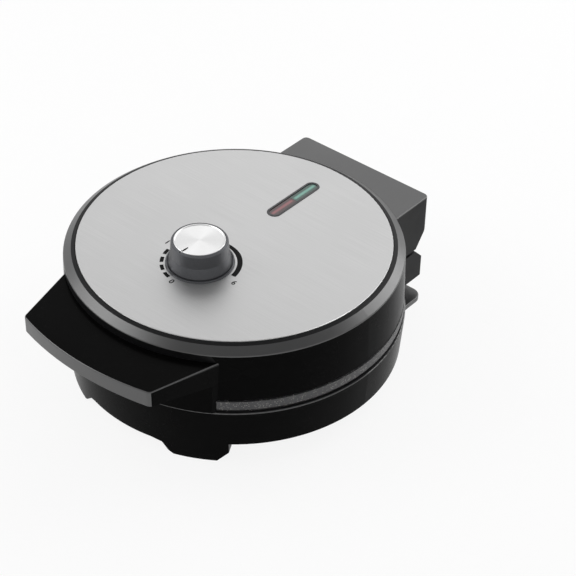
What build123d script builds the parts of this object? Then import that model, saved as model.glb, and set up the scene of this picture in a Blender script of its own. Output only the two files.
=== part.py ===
from build123d import *
import os
from math import cos, radians, sin, sqrt

# Belgian waffle maker with a hinged lid. Millimetres, +Z up.
# Everything is built round the upright axis of the round body, the handle towards -Y,
# the hinge towards +Y. Only the export moves it, so that the origin ends up on the
# floor under the middle of the footprint.

# Steps in height, from the floor up
foot_lift = 0.5
flange_t = 3.2
front_skirt_lift = 9.5
low_block_lift = 13.5
wall_foot_lift = 15.2
base_wall_h = 27.0
split_gap = 1.9
lid_gap = 7.8
lid_wall_h = 34.0
rim_rise = 3.8
disc_rise = 1.3
knob_h = 17.9
handle_drop = 5.2
upper_block_drop = 7.4
hinge_drop = 5.85

# Radii and steps of the round body
lid_edge_r = 110.0
shoulder_in = 1.0
rim_slope_w = 5.1
rim_flat_w = 3.0
lip_out = 1.2
wall_lean = 1.9
shoulder_edge_r = 1.2
rim_edge_r = 0.6
lip_edge_r = 0.6

# Wall thicknesses
wall = 2.5
lid_top_wall = 3.0
disc_t = 0.6
disc_edge_h = 0.9
groove_gap = 0.4

# Clearances
body_gap = 0.3
seat_gap = 0.15
pin_gap = 0.06
press_gap = 0.02
hinge_gap = 0.4
wire_gap = 0.1

# Hinge
hinge_out = 12.2
pin_r = 2.0
knuckle_r = 6.0
pocket_gap = 0.6
pocket_wall = 2.0
knuckle_in_x = 28.0
knuckle_w = 10.0
ear_w = 5.6
upper_slant_deg = 53.4
lower_slant_deg = 46.2
slant_back = 0.2
block_split = 1.15

# Hinge blocks
block_half = 54.1
upper_block_out = 11.8
lower_block_out = 9.9
upper_corner_r = 3.6
lower_corner_r = 3.0
edge_r = 0.8
block_reach = 53.4
lip_clearance = 0.6
passage_half = 40.0

# Handle
handle_half = 53.0
handle_reach = 31.0
handle_bow = 7.5
handle_root_half = 65.0
handle_t = 10.0
handle_slope = 0.129
handle_corner_r = 4.0
handle_wall = 3.0
apron_t = 1.8
apron_gap = 0.9
cover_t = 2.0
cover_inset = 0.4
handle_boss_r = 3.6
handle_boss_x = 32.0
handle_boss_in = 16.0

# Front feet
foot_angle = -61.65
foot_half = 13.9
foot_outer_half = 21.4
foot_outer_z = 8.1
foot_inner_half = 17.2
foot_inner_z = 2.7
foot_flare_half = 21.3
foot_flare_z = 8.7
foot_skirt_half = 28.3
skirt_half = 26.9
foot_depth = 10.0
foot_root = 2.0
foot_shell = 3.3
foot_seat = 4.0
pad_r = 4.0
pad_t = 2.0
pad_gap = 0.1

# Rear foot and cord wrap
wrap_half = 61.0
wrap_in = 6.3
wrap_corner_r = 8.0
wrap_under = 5.3
neck_half = 46.0
neck_t = 7.0
rear_plate_t = 2.3
rear_pad_x = 46.0
rear_pad_in = 16.0
rear_screw_x = 35.0

# Bottom opening and cover
cover_rim_w = 10.3
seat_ledge_w = 5.0
cover_screw_in = 3.0
seat_ring_t = 2.0
bottom_t = 2.4
vent_l = 26.0
vent_w = 3.0
vent_pitch = 9.0
vent_count = 5
vent_y = 38.0
cover_boss_r = 3.4
cover_boss_h = 8.0

# Cooking plates
pan_rim_w = 21.5
pan_draft = 2.0
pan_depth = 11.0
pan_t = 3.5
plate_rim_out = 0.2
lower_plate_gap = 0.5
plate_edge_h = 6.65
plate_rim_t = 3.5
plate_edge_cut = 0.6
spigot_h = 3.0
spigot_gap = 0.3
skirt_w = 3.2
moat_out = 5.0
moat_w = 2.4
moat_depth = 1.4
tooth_base = 10.5
tooth_pitch = 17.5
tooth_first = 11.75
tooth_gap = 5.0
tooth_draft_deg = 8.0
tooth_count = 5
ridge_base = 6.0
ridge_top = 3.0
plate_screw_in = 10.5
plate_post_r = 4.5
lid_rib_t = 2.0
plate_screw_sink = 0.4
ledge_extra = 0.5
ledge_t = 1.5
ledge_h = 6.0

# Heating elements and reflectors
element_in = 26.5
tube_r = 3.25
tube_gap = 0.1
element_gap_deg = 20.0
lead_out = 14.0
terminal_r = 1.2
terminal_l = 8.0
channel_half = 5.5
channel_h = 3.0
reflector_in = 0.5
reflector_t = 0.6
reflector_lip = 4.0
reflector_post_r = 4.0
reflector_post_in = 22.0
upper_reflector_gap = 10.75
lower_reflector_gap = 8.75

# Screws
screw_r = 1.9
screw_hole_r = 2.0
screw_head_r = 3.6
screw_head_h = 2.0
small_screw_r = 1.4
small_head_r = 2.6
small_head_h = 1.6
small_hole_r = 1.5
head_gap = 0.2
hinge_screw_l = 9.0
handle_screw_l = 8.0
bottom_screw_l = 8.0
reflector_screw_l = 5.0
reflector_head_h = 1.28
upper_plate_screw_l = 16.0
lower_plate_screw_l = 14.0
strap_screw_l = 3.1
thread_in = 5.0

# Knob and thermostat
knob_y = -32.6
knob_foot_r = 20.4
knob_rim_r = 17.8
knob_gap = 0.6
knob_wall = 2.2
knob_roof = 2.6
knob_boss_r = 5.0
knob_boss_lift = 2.0
knob_foot_h = 0.8
knob_waist = 0.25
knob_flare = 0.6
knob_flare_at = 0.45
knob_rim_h = 1.2
knob_rim_in = 0.5
knob_edge_r = 0.3
cap_r = 16.5
cap_t = 1.0
cap_gap = 0.05
cap_dish = 0.4
cap_edge = 0.3
cap_land = 0.6
pointer_l = 6.5
pointer_w = 1.3
pointer_depth = 0.7
bezel_r = 22.0
bezel_h = 1.5
bezel_floor = 0.5
bezel_gap = 0.5
spindle_r = 3.0
spindle_flat = 1.0
spindle_gap = 0.03
spindle_short = 1.5
spindle_hole_r = 4.5
thermostat_w = 30.0
thermostat_d = 22.0
thermostat_h = 9.0
thermostat_drop = 14.3
thermostat_bush_r = 5.5
thermostat_bush_h = 3.0
thermostat_well = 3.0
thermostat_corner_r = 2.0
thermostat_blade_l = 6.4
thermostat_blade_w = 6.0
thermostat_blade_drop = 2.5
thermostat_blade_t = 0.8
strap_l = 46.0
strap_w = 14.0
strap_t = 1.0
strap_foot = 8.0

# Indicator window
window_y0 = 33.7
window_y1 = 81.6
window_w = 10.0
window_gap = 0.1
window_rim = 1.5
window_proud = 0.3
window_flange = 2.0
window_flange_t = 1.0
lens_t = 2.4
lens_drop = 0.2
lens_ledge = 1.0
holder_drop = 8.0
holder_t = 1.2
lamp_r = 2.5
lamp_l = 14.0
lamp_lift = 0.3

# Cord entry and inside of the base
gland_lift = 6.8
gland_r = 5.4
gland_flange_r = 6.0
gland_flange_t = 1.2
gland_bore_r = 3.5
gland_in = 9.0
clamp_in = 15.3
clamp_w = 20.0
clamp_d = 6.0
clamp_t = 2.5
block_x = 34.0
block_in = 16.3
block_w = 20.0
block_d = 10.0
block_h = 8.0
block_hole_r = 1.6
wire_r = 1.1

# Thermal fuse
fuse_r = 2.2
fuse_l = 16.0
fuse_x = 24.0
fuse_y = 30.0
fuse_clip_t = 0.8
fuse_clip_w = 5.0
fuse_clip_foot = 6.0

# Spare length that carries a cut past the faces it opens, and the reach of a half space
over = 1.0
reach = 200.0

# Values worked out from the sizes above
foot_z = foot_lift
flange_top_z = foot_z + flange_t
front_skirt_z = foot_z + front_skirt_lift
low_block_z = foot_z + low_block_lift
wall_foot_z = foot_z + wall_foot_lift
lip_z = wall_foot_z + base_wall_h
split_z = lip_z + split_gap
lid_edge_z = split_z + lid_gap
shoulder_z = lid_edge_z + lid_wall_h
rim_z = shoulder_z + rim_rise
disc_top_z = rim_z + disc_rise
knob_top_z = disc_top_z + knob_h
handle_top_z = shoulder_z - handle_drop
upper_block_top_z = shoulder_z - upper_block_drop
hinge_z = split_z - hinge_drop
apron_foot_z = lip_z + apron_gap
shoulder_r = lid_edge_r - shoulder_in
rim_r = shoulder_r - rim_slope_w
disc_r = rim_r - rim_flat_w
lip_r = lid_edge_r + lip_out
wall_foot_r = lip_r - wall_lean
plate_rim_r = lid_edge_r + plate_rim_out
lower_plate_r = lip_r - wall - lower_plate_gap
apron_in_r = plate_rim_r + body_gap
apron_r = apron_in_r + apron_t
pan_r = lid_edge_r - pan_rim_w
moat_r = pan_r + pan_draft + moat_out
plate_screw_r = lid_edge_r - plate_screw_in
element_r = pan_r - element_in
reflector_r = pan_r - reflector_in
reflector_post_at = element_r - reflector_post_in
hinge_y = lip_r + hinge_out
pocket_r = knuckle_r + pocket_gap
upper_block_y = hinge_y + upper_block_out
lower_block_y = hinge_y + lower_block_out
block_root_y = hinge_y - block_reach
handle_front_y = lid_edge_r + handle_reach
handle_corner_y = handle_front_y - handle_bow
handle_root_y = sqrt(lid_edge_r ** 2 - handle_root_half ** 2)
handle_boss_y = handle_front_y - handle_boss_in
wrap_y = lower_block_y - wrap_in
wrap_in_r = wall_foot_r - wrap_under
rear_pad_y = wrap_y - rear_pad_in
cover_r = wall_foot_r - cover_rim_w
seat_ring_in_r = cover_r - seat_ledge_w
cover_screw_r = cover_r - cover_screw_in
gland_z = low_block_z + gland_lift
clamp_y = lower_block_y - clamp_in
block_y = lower_block_y - block_in
disc_seat_z = disc_top_z - disc_t
lid_ceiling_z = disc_seat_z - lid_top_wall
upper_face_z = split_z + body_gap / 2
lower_face_z = split_z - body_gap / 2
upper_back_z = upper_face_z + pan_depth + pan_t
lower_back_z = lower_face_z - pan_depth - pan_t
upper_reflector_z = upper_back_z + upper_reflector_gap
lower_reflector_z = lower_back_z - lower_reflector_gap
thermostat_z = lid_ceiling_z - thermostat_drop
upper_block_z = hinge_z + block_split
lower_block_top_z = hinge_z - block_split
cover_top_z = wall_foot_z + bottom_t
seat_ring_z = cover_top_z + seat_gap
floor_top_z = seat_ring_z + seat_ring_t
rear_plate_top_z = low_block_z + rear_plate_t
ledge_z = lower_face_z - plate_edge_h
window_mid_y = (window_y0 + window_y1) / 2
window_len = window_y1 - window_y0
knob_foot_z = disc_top_z + knob_gap
screw_angles = [45.0, 135.0, 225.0, 315.0]
reflector_angles = [30.0, 150.0, 270.0]
knuckle_out_x = knuckle_in_x + knuckle_w
ear_spans = [
    (knuckle_in_x - hinge_gap - ear_w, knuckle_in_x - hinge_gap),
    (knuckle_out_x + hinge_gap, knuckle_out_x + hinge_gap + ear_w),
]
lining_in_x = ear_spans[0][0] - hinge_gap - pocket_wall
lining_out_x = ear_spans[1][1] + hinge_gap + pocket_wall
lining_r = pocket_r + pocket_wall
origin_y = (upper_block_y - handle_front_y) / 2


# Small building blocks
def revolved(points, rounds=()):
    """Solid of revolution about Z from (radius, height) points. Each of rounds is a corner and its radius."""
    face = make_face(Polyline(*points, close=True))
    for (r, z), radius in rounds:
        corner = face.vertices().sort_by(lambda v: sqrt((v.X - r) ** 2 + (v.Y - z) ** 2))[0]
        face = fillet(corner, radius)
    return revolve(Plane.XZ * face, Axis.Z)


def disc(radius, low, high, x=0.0, y=0.0):
    """Upright cylinder between two heights."""
    return Pos(x, y, (low + high) / 2) * Cylinder(radius, high - low)


def ring(outer, inner, low, high):
    """Upright ring between two heights."""
    return disc(outer, low, high) - disc(inner, low - over, high + over)


def block(x0, x1, y0, y1, z0, z1):
    """Box from its six limits."""
    centre = Pos((x0 + x1) / 2, (y0 + y1) / 2, (z0 + z1) / 2)
    return centre * Box(x1 - x0, y1 - y0, z1 - z0)


def prism_z(plan, low, high):
    """Flat outline raised between two heights."""
    return Pos(0, 0, low) * extrude(plan, amount=high - low)


def prism_x(points, half):
    """Outline of (y, z) points, drawn out to both sides of the middle plane."""
    face = make_face(Polyline(*points, close=True))
    return extrude(Plane.YZ * face, amount=half, both=True)


def rod_x(radius, x0, x1, y, z):
    """Cylinder along X."""
    return Pos((x0 + x1) / 2, y, z) * Rot(0, 90, 0) * Cylinder(radius, x1 - x0)


def rod_y(radius, y0, y1, x, z):
    """Cylinder along Y."""
    return Pos(x, (y0 + y1) / 2, z) * Rot(90, 0, 0) * Cylinder(radius, y1 - y0)


def both_sides(shape):
    """A shape and its mirror image on the other side of the middle plane."""
    return shape + mirror(shape, about=Plane.YZ)


def polar(radius, angle):
    """Point at a radius and an angle in degrees."""
    return radius * cos(radians(angle)), radius * sin(radians(angle))


def joined(shapes):
    """All shapes as one part."""
    return Part() + list(shapes)


def outer_fillet(solid, height, radius):
    """Round the outer edges that lie at one height."""
    edges = solid.edges().filter_by(lambda e: abs(e.bounding_box().min.Z - height) < 0.01
                                    and abs(e.bounding_box().max.Z - height) < 0.01)
    return fillet(edges, radius)


def screw(x, y, z, length, up, shank, head_r, head_h, sunk=False):
    """Screw whose head sits at z. It points up or down from there."""
    if sunk:
        head = Cone(head_r, shank, head_h, align=(Align.CENTER, Align.CENTER, Align.MIN))
    else:
        head = Pos(0, 0, -head_h) * Cylinder(head_r, head_h,
                                             align=(Align.CENTER, Align.CENTER, Align.MIN))
        head = fillet(head.edges().sort_by(Axis.Z)[0], head_h * 0.4)
    body = Cylinder(shank, length, align=(Align.CENTER, Align.CENTER, Align.MIN))
    low = 0.0 if sunk else -head_h
    slot_a = Pos(0, 0, low) * Box(head_r * 1.1, shank * 0.4, head_h)
    slot_b = Pos(0, 0, low) * Box(shank * 0.4, head_r * 1.1, head_h)
    whole = head + body - slot_a - slot_b
    turn = Rot(0, 0, 0) if up else Rot(180, 0, 0)
    return Pos(x, y, z) * turn * whole


def tube(points, radius, bend):
    """Round wire along straight runs with rounded corners."""
    path = FilletPolyline(*points, radius=bend)
    start = Plane(origin=path @ 0, z_dir=path % 0)
    return sweep(start * Circle(radius), path=path)


# Outlines shared by several pieces
def lower_wall_r(z):
    """Outside radius of the lower wall at a height."""
    slope = (lip_r - wall_foot_r) / (lip_z - wall_foot_z)
    return wall_foot_r + slope * (z - wall_foot_z)


def lower_wall_solid(inset, low, high, top_round=0.0):
    """Full cone inside the lower wall's outside, drawn in by inset."""
    corner = (lower_wall_r(high) - inset, high)
    rounds = [(corner, top_round)] if top_round else []
    return revolved([(0, low), (lower_wall_r(low) - inset, low), corner, (0, high)], rounds)


def block_plan(inset, rear_y, corner_r):
    """Plan of a hinge block, with rounded rear corners."""
    half = block_half - inset
    depth = rear_y - inset - block_root_y
    plan = Pos(0, block_root_y + depth / 2) * Rectangle(2 * half, depth)
    rear = plan.vertices().filter_by(lambda v: v.Y > block_root_y + depth / 2)
    return fillet(rear, max(corner_r - inset, 0.5))


def behind_slant(slope_deg, upper, inset):
    """The space beyond a hinge block's slanted rear face."""
    angle = radians(slope_deg)
    sign = 1 if upper else -1
    back = slant_back + inset
    start_y = hinge_y - back * sin(angle)
    start_z = hinge_z + sign * back * cos(angle)
    near = (start_y - reach * cos(angle), start_z - sign * reach * sin(angle))
    far = (start_y + reach * cos(angle), start_z + sign * reach * sin(angle))
    corner = (far[0] + reach, start_z - sign * reach)
    return prism_x([near, far, (far[0] + reach, far[1]), corner], block_half + over)


def handle_plan(inset):
    """Plan of the handle, from inside the round body to its curved front edge."""
    side = (handle_root_half - handle_half) / (handle_corner_y - handle_root_y)
    root_y = handle_root_y - handle_t
    root_x = handle_root_half + handle_t * side
    left = (-handle_half, -handle_corner_y)
    right = (handle_half, -handle_corner_y)
    outline = ThreePointArc(left, (0, -handle_front_y), right)
    outline += Polyline(right, (root_x, -root_y), (-root_x, -root_y), left)
    plan = make_face(outline)
    front = plan.vertices().filter_by(lambda v: v.Y < -handle_root_y)
    plan = fillet(front, handle_corner_r)
    if inset > 0:
        plan = offset(plan, amount=-inset)
    return plan


def underside_z(y, lift=0.0):
    """Height of the handle's sloping underside."""
    return handle_top_z - handle_t - handle_slope * (y + handle_front_y) + lift


def handle_slab(lift_low, lift_high):
    """Slab parallel to the handle's underside, between two lifts above it."""
    front = -handle_front_y - over
    rear = -handle_root_y + 2 * handle_t
    points = [(front, underside_z(front, lift_low)), (rear, underside_z(rear, lift_low)),
              (rear, underside_z(rear, lift_high)), (front, underside_z(front, lift_high))]
    return prism_x(points, handle_root_half + handle_t)


def stadium(length, width):
    """Plan of the window, lying along Y."""
    return Pos(0, window_mid_y) * SlotOverall(length, width, rotation=90)


# Lid pieces
def lid_round_outer():
    """Outside of the round lid, full."""
    groove_out = disc_r + groove_gap
    groove_in = disc_r - disc_t - groove_gap
    groove_z = disc_seat_z - disc_edge_h - body_gap
    ring_top = disc_top_z - body_gap
    edge = (lid_edge_r, lid_edge_z)
    shoulder = (shoulder_r, shoulder_z)
    rim = (rim_r, rim_z)
    return revolved([(0, lid_edge_z), edge, shoulder, rim, (groove_out, ring_top),
                     (groove_out, groove_z), (groove_in, groove_z), (groove_in, disc_seat_z),
                     (0, disc_seat_z)],
                    [(edge, rim_edge_r), (shoulder, shoulder_edge_r), (rim, rim_edge_r)])


def lid_round_inner():
    """Hollow of the round lid."""
    run = shoulder_r - rim_r
    rise = rim_z - shoulder_z
    length = sqrt(run ** 2 + rise ** 2)
    nr = rise / length
    nz = run / length
    reach = shoulder_r * nr + shoulder_z * nz - wall
    side_r = shoulder_r - wall
    side_z = (reach - side_r * nr) / nz
    top_r = (reach - lid_ceiling_z * nz) / nr
    return revolved([(0, lid_edge_z - over), (lid_edge_r - wall, lid_edge_z - over),
                     (side_r, side_z), (top_r, lid_ceiling_z), (0, lid_ceiling_z)])


def upper_block_solid(inset):
    """Hinge block of the lid, drawn in by inset."""
    low = upper_block_z - (over if inset else 0)
    high = upper_block_top_z - inset
    solid = prism_z(block_plan(inset, upper_block_y, upper_corner_r), low, high)
    if not inset:
        solid = outer_fillet(solid, high, edge_r)
    solid -= behind_slant(upper_slant_deg, True, inset)
    front_r = lip_r + lip_clearance + inset
    return solid - disc(front_r, low - over, lid_edge_z + inset)


def hinge_lining(block_solid):
    """Solid stock round the hinge line, on both sides, kept inside a block."""
    stock = both_sides(rod_x(lining_r, lining_in_x, lining_out_x, hinge_y, hinge_z))
    return stock & block_solid


def upper_housing():
    block_out = upper_block_solid(0)
    plate = prism_z(handle_plan(0), split_z, handle_top_z)
    plate = outer_fillet(plate, handle_top_z, edge_r)
    plate &= handle_slab(0, reach)
    apron = disc(apron_r, apron_foot_z, handle_top_z - handle_t / 2)
    apron &= prism_z(handle_plan(0), apron_foot_z, handle_top_z - edge_r)
    body = lid_round_outer() + block_out + plate + apron
    hollow = upper_block_solid(wall) - disc(lid_edge_r, lid_edge_z, handle_top_z)
    body -= hollow
    body += hinge_lining(block_out)
    body -= lid_round_inner()
    body -= disc(apron_in_r, apron_foot_z - over, lid_edge_z)
    # passage for the leads between the round body and the hinge block
    body -= block(-passage_half, passage_half, lid_edge_r - 4 * wall, lid_edge_r + 2 * wall,
                  lid_edge_z + 3 * wall, upper_block_top_z - 2 * wall)
    # hollow handle with two screw bosses
    pocket = prism_z(handle_plan(handle_wall), split_z, handle_top_z - wall)
    pocket -= disc(apron_r + wall, split_z - over, handle_top_z)
    body -= pocket
    for side in (-1, 1):
        boss = disc(handle_boss_r, split_z, handle_top_z - wall / 2,
                    side * handle_boss_x, -handle_boss_y)
        body += boss & handle_slab(cover_inset + cover_t, reach)
        body -= disc(small_hole_r, split_z, handle_top_z - wall,
                     side * handle_boss_x, -handle_boss_y)
    # posts for the cooking plate
    for angle in screw_angles:
        x, y = polar(plate_screw_r, angle)
        post = disc(plate_post_r, upper_face_z + plate_rim_t, lid_ceiling_z + over, x, y)
        rib_low = lid_edge_z + plate_post_r
        rib_high = lid_ceiling_z + over
        rib_x = (plate_screw_r + lid_edge_r - wall) / 2
        rib = Rot(0, 0, angle) * Pos(rib_x, 0, (rib_low + rib_high) / 2) * Box(
            lid_edge_r - wall - plate_screw_r, lid_rib_t, rib_high - rib_low)
        body += post + (rib & lid_round_outer())
        body -= disc(screw_hole_r, upper_face_z, lid_ceiling_z - wall, x, y)
    # hinge pockets, knuckles and the bore for the pins
    for x0, x1 in ear_spans:
        body -= both_sides(rod_x(pocket_r, x0 - hinge_gap, x1 + hinge_gap, hinge_y, hinge_z))
    body += both_sides(rod_x(knuckle_r, knuckle_in_x, knuckle_out_x, hinge_y, hinge_z))
    body -= both_sides(rod_x(pin_r + pin_gap, lining_in_x + pocket_wall,
                             lining_out_x - pocket_wall, hinge_y, hinge_z))
    # holes for the spindle and the window, and the bosses of the hinge block's cover
    body -= disc(spindle_hole_r, lid_ceiling_z - over, disc_top_z, 0, knob_y)
    body -= prism_z(stadium(window_len + 2 * window_gap, window_w + 2 * window_gap),
                    lid_ceiling_z - over, disc_top_z)
    for x, y in hinge_cover_screws():
        body += disc(cover_boss_r, upper_block_z + wall, upper_block_top_z - over, x, y) & block_out
        body -= disc(small_hole_r, upper_block_z, upper_block_z + wall + hinge_screw_l, x, y)
    return body


def hinge_cover_screws():
    """Places of the two screws of the lid's hinge cover."""
    y = lip_r + lip_clearance - cover_boss_r - body_gap
    return [(-block_half + wall + cover_boss_r, y), (block_half - wall - cover_boss_r, y)]


def lid_hinge_cover():
    low = upper_block_z
    plan = block_plan(wall + seat_gap, upper_block_y, upper_corner_r)
    cover = prism_z(plan, low, low + wall)
    cover -= behind_slant(upper_slant_deg, True, wall + seat_gap)
    cover -= disc(lip_r + lip_clearance + wall + seat_gap, low - over, low + wall + over)
    stock = rod_x(lining_r + seat_gap, lining_in_x - seat_gap, lining_out_x + seat_gap,
                  hinge_y, hinge_z)
    cover -= both_sides(stock)
    for x, y in hinge_cover_screws():
        cover -= disc(small_hole_r, low - over, low + wall + over, x, y)
        cover -= disc(small_head_r + head_gap, low - over, low + small_head_h, x, y)
    return cover


def lid_hinge_cover_screws():
    low = upper_block_z + small_head_h
    return [screw(x, y, low, hinge_screw_l, True, small_screw_r, small_head_r, small_head_h)
            for x, y in hinge_cover_screws()]


def handle_cover():
    plan = handle_plan(handle_wall + seat_gap)
    cover = prism_z(plan, split_z, handle_top_z - wall)
    cover &= handle_slab(cover_inset, cover_inset + cover_t)
    cover -= disc(apron_r + wall + seat_gap, split_z - over, handle_top_z)
    for side in (-1, 1):
        cover -= disc(small_hole_r, split_z, handle_top_z, side * handle_boss_x, -handle_boss_y)
    return cover


def handle_cover_screws():
    low = underside_z(-handle_boss_y, cover_inset) - handle_slope * small_head_r
    return [screw(side * handle_boss_x, -handle_boss_y, low, handle_screw_l, True,
                  small_screw_r, small_head_r, small_head_h) for side in (-1, 1)]


def top_disc():
    sheet = disc(disc_r, disc_seat_z, disc_top_z)
    sheet = outer_fillet(sheet, disc_top_z, disc_t * 0.6)
    sheet += ring(disc_r, disc_r - disc_t, disc_seat_z - disc_edge_h, disc_seat_z)
    sheet -= disc(spindle_hole_r, disc_seat_z - over, disc_top_z + over, 0, knob_y)
    slot = stadium(window_len + 2 * window_gap, window_w + 2 * window_gap)
    return sheet - prism_z(slot, disc_seat_z - over, disc_top_z + over)


def window_bezel():
    top = disc_top_z + window_proud
    outer = prism_z(stadium(window_len, window_w), lid_ceiling_z, top)
    outer = outer_fillet(outer, top, window_proud * 0.8)
    flange = stadium(window_len + 2 * window_flange, window_w + 2 * window_flange)
    outer += prism_z(flange, lid_ceiling_z - window_flange_t, lid_ceiling_z)
    seat = top - window_proud - lens_drop - lens_t
    inner = stadium(window_len - 2 * window_rim, window_w - 2 * window_rim)
    through = stadium(window_len - 2 * window_rim - 2 * lens_ledge,
                      window_w - 2 * window_rim - 2 * lens_ledge)
    outer -= prism_z(inner, seat, top + over)
    return outer - prism_z(through, lid_ceiling_z - window_flange_t - over, seat + over)


def lens(front):
    """One half of the indicator window."""
    inset = window_rim + window_gap
    plan = stadium(window_len - 2 * inset, window_w - 2 * inset)
    high = disc_top_z - lens_drop
    whole = prism_z(plan, high - lens_t, high)
    near = window_mid_y - window_gap / 2 if front else window_y1
    far = window_mid_y + window_gap / 2 if not front else window_y0
    low_y, high_y = min(near, far), max(near, far)
    return whole & block(-window_w, window_w, low_y, high_y, high - lens_t - over, high + over)


def lamp_holder():
    top = lid_ceiling_z - window_flange_t
    low = top - holder_drop
    half = window_w / 2 + window_flange
    plate = block(-half, half, window_y0 - holder_t, window_y1 + holder_t, low - holder_t, low)
    for y in (window_y0 + holder_t, window_y1 - holder_t):
        plate += block(-half + body_gap, half - body_gap, y - holder_t, y + holder_t, low, top)
    for y in lamp_places():
        cradle = block(-lamp_r - holder_t, lamp_r + holder_t, y - holder_t, y + holder_t,
                       low, low + lamp_r)
        cradle -= rod_y(lamp_r, y - 2 * holder_t, y + 2 * holder_t, 0, low + lamp_r + lamp_lift)
        plate += cradle
    return plate


def lamp_places():
    """Places of the two lamps along the window."""
    return [window_mid_y - window_len / 4, window_mid_y + window_len / 4]


def indicator_lamps():
    z = lid_ceiling_z - window_flange_t - holder_drop + lamp_r + lamp_lift
    lamps = []
    for y in lamp_places():
        glass = rod_y(lamp_r - press_gap, y - lamp_l / 2, y + lamp_l / 2, 0, z)
        lamps.append(fillet(glass.edges(), lamp_r * 0.6))
    return lamps


def dial_bezel():
    high = disc_top_z + bezel_h
    floor = disc_top_z + bezel_floor
    inner = knob_foot_r + bezel_gap
    profile = [(spindle_hole_r, disc_top_z), (bezel_r, disc_top_z), (bezel_r - body_gap, high),
               (inner, high), (inner, floor), (spindle_hole_r, floor)]
    return Pos(0, knob_y, 0) * revolved(profile)


def cooking_plate(face_z, up, rim_r):
    """Cast plate with its grid towards the other plate. It is built face up, then turned."""
    floor = -pan_depth
    back = floor - pan_t
    edge_low = -plate_edge_h
    wall_out = pan_r + pan_draft + pan_t
    spigot_out = (lid_edge_r - wall - spigot_gap) if up else rim_r
    spigot_low = edge_low - spigot_h if up else edge_low
    profile = [(0, floor), (pan_r, floor), (pan_r + pan_draft, 0), (rim_r - plate_edge_cut, 0),
               (rim_r, -plate_edge_cut), (rim_r, edge_low)]
    if up:
        profile += [(spigot_out, edge_low), (spigot_out, spigot_low)]
    profile += [(spigot_out - skirt_w, spigot_low), (spigot_out - skirt_w, -plate_rim_t),
                (wall_out, -plate_rim_t), (wall_out - pan_draft, back), (0, back)]
    plate = revolved(profile)
    # overflow groove
    groove = [(moat_r - moat_w, over), (moat_r + moat_w, over), (moat_r + moat_w, 0),
              (moat_r + moat_w / 2, -moat_depth), (moat_r - moat_w / 2, -moat_depth),
              (moat_r - moat_w, 0)]
    plate -= revolved(groove)
    # teeth of the grid and the two ridges that part the waffle in quarters
    height = pan_depth - tooth_gap / 2
    squares = Sketch() + [Pos(*place) * Rectangle(tooth_base, tooth_base)
                          for place in tooth_places()]
    teeth = extrude(Pos(0, 0, floor) * squares, amount=height, taper=tooth_draft_deg)
    ridge = [(-ridge_base / 2, floor), (ridge_base / 2, floor), (ridge_top / 2, 0),
             (-ridge_top / 2, 0)]
    along_y = extrude(Plane.XZ * make_face(Polyline(*ridge, close=True)),
                      amount=pan_r + pan_draft, both=True)
    ridges = along_y + Rot(0, 0, 90) * along_y
    pan = revolved([(0, floor - over), (pan_r, floor - over), (pan_r + pan_draft, 0), (0, 0)])
    plate += joined(teeth.solids()) & pan
    plate += ridges & pan
    # raised channel on the back with the groove for the element, and the reflector's bosses
    channel = ring(element_r + channel_half, element_r - channel_half, back - channel_h, back)
    plate += channel
    post_h = reflector_post_h(up)
    for x, y in reflector_screw_places():
        plate += disc(reflector_post_r, back - post_h, back, x, y)
        plate -= disc(small_hole_r, back - post_h - over, back - post_h + thread_in, x, y)
    groove_z = back - channel_h
    plate -= element_shape(groove_z, tube_r + tube_gap, False)
    # screws at the rim
    for angle in screw_angles:
        x, y = polar(plate_screw_r, angle)
        plate -= disc(screw_hole_r, -plate_rim_t - over, over, x, y)
        sink = Cone(screw_hole_r, screw_head_r + head_gap, screw_head_h,
                    align=(Align.CENTER, Align.CENTER, Align.MAX))
        plate -= Pos(x, y, 0) * sink
    turned = Rot(0, 180, 0) * plate if up else plate
    return Pos(0, 0, face_z) * turned


def reflector_post_h(up):
    """Height of the bosses between a plate's back and its reflector."""
    return upper_reflector_z - upper_back_z if up else lower_back_z - lower_reflector_z - reflector_t


def tooth_places():
    """Centres of the grid's teeth, in all four quarters."""
    places = []
    for i in range(tooth_count):
        for j in range(tooth_count):
            x = tooth_first + i * tooth_pitch
            y = tooth_first + j * tooth_pitch
            if sqrt(x ** 2 + y ** 2) < pan_r:
                places += [(x, y), (-x, y), (x, -y), (-x, -y)]
    return places


def element_shape(z, radius, pins):
    """Round heating tube with its two ends led outwards beside the rear. The rear is +Y."""
    start = 90 + element_gap_deg
    arc = CenterArc((0, 0), element_r, start, 360 - 2 * element_gap_deg)
    section = Plane(origin=arc @ 0, z_dir=arc % 0) * Circle(radius)
    shape = Pos(0, 0, z) * sweep(section, path=arc)
    for angle in (start, start - 2 * element_gap_deg):
        x, y = polar(element_r, angle)
        shape += Pos(x, y, z) * Sphere(radius)
        along = Pos(x, y, z) * Rot(0, 0, angle) * Rot(0, 90, 0)
        shape += along * Cylinder(radius, lead_out, align=(Align.CENTER, Align.CENTER, Align.MIN))
        if pins:
            shape += along * Pos(0, 0, lead_out - over) * Cylinder(
                terminal_r, terminal_l + over, align=(Align.CENTER, Align.CENTER, Align.MIN))
    return shape


def heating_element(up):
    """Tubular element seated in the groove of its plate."""
    if up:
        return Pos(0, 0, upper_back_z + channel_h) * element_shape(0, tube_r, True)
    return element_shape(lower_back_z - channel_h, tube_r, True)


def reflector(up):
    """Sheet between the plate's back and the housing, its edge turned towards the plate."""
    z = upper_reflector_z if up else lower_reflector_z
    sheet = disc(reflector_r, z, z + reflector_t)
    lip_low = z - reflector_lip if up else z
    lip_high = z + reflector_t if up else z + reflector_lip
    sheet += ring(reflector_r, reflector_r - reflector_t, lip_low, lip_high)
    places = reflector_screw_places()
    if up:
        places += strap_screw_places()
    for x, y in places:
        sheet -= disc(small_hole_r, z - over, z + reflector_t + over, x, y)
    return sheet


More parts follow.
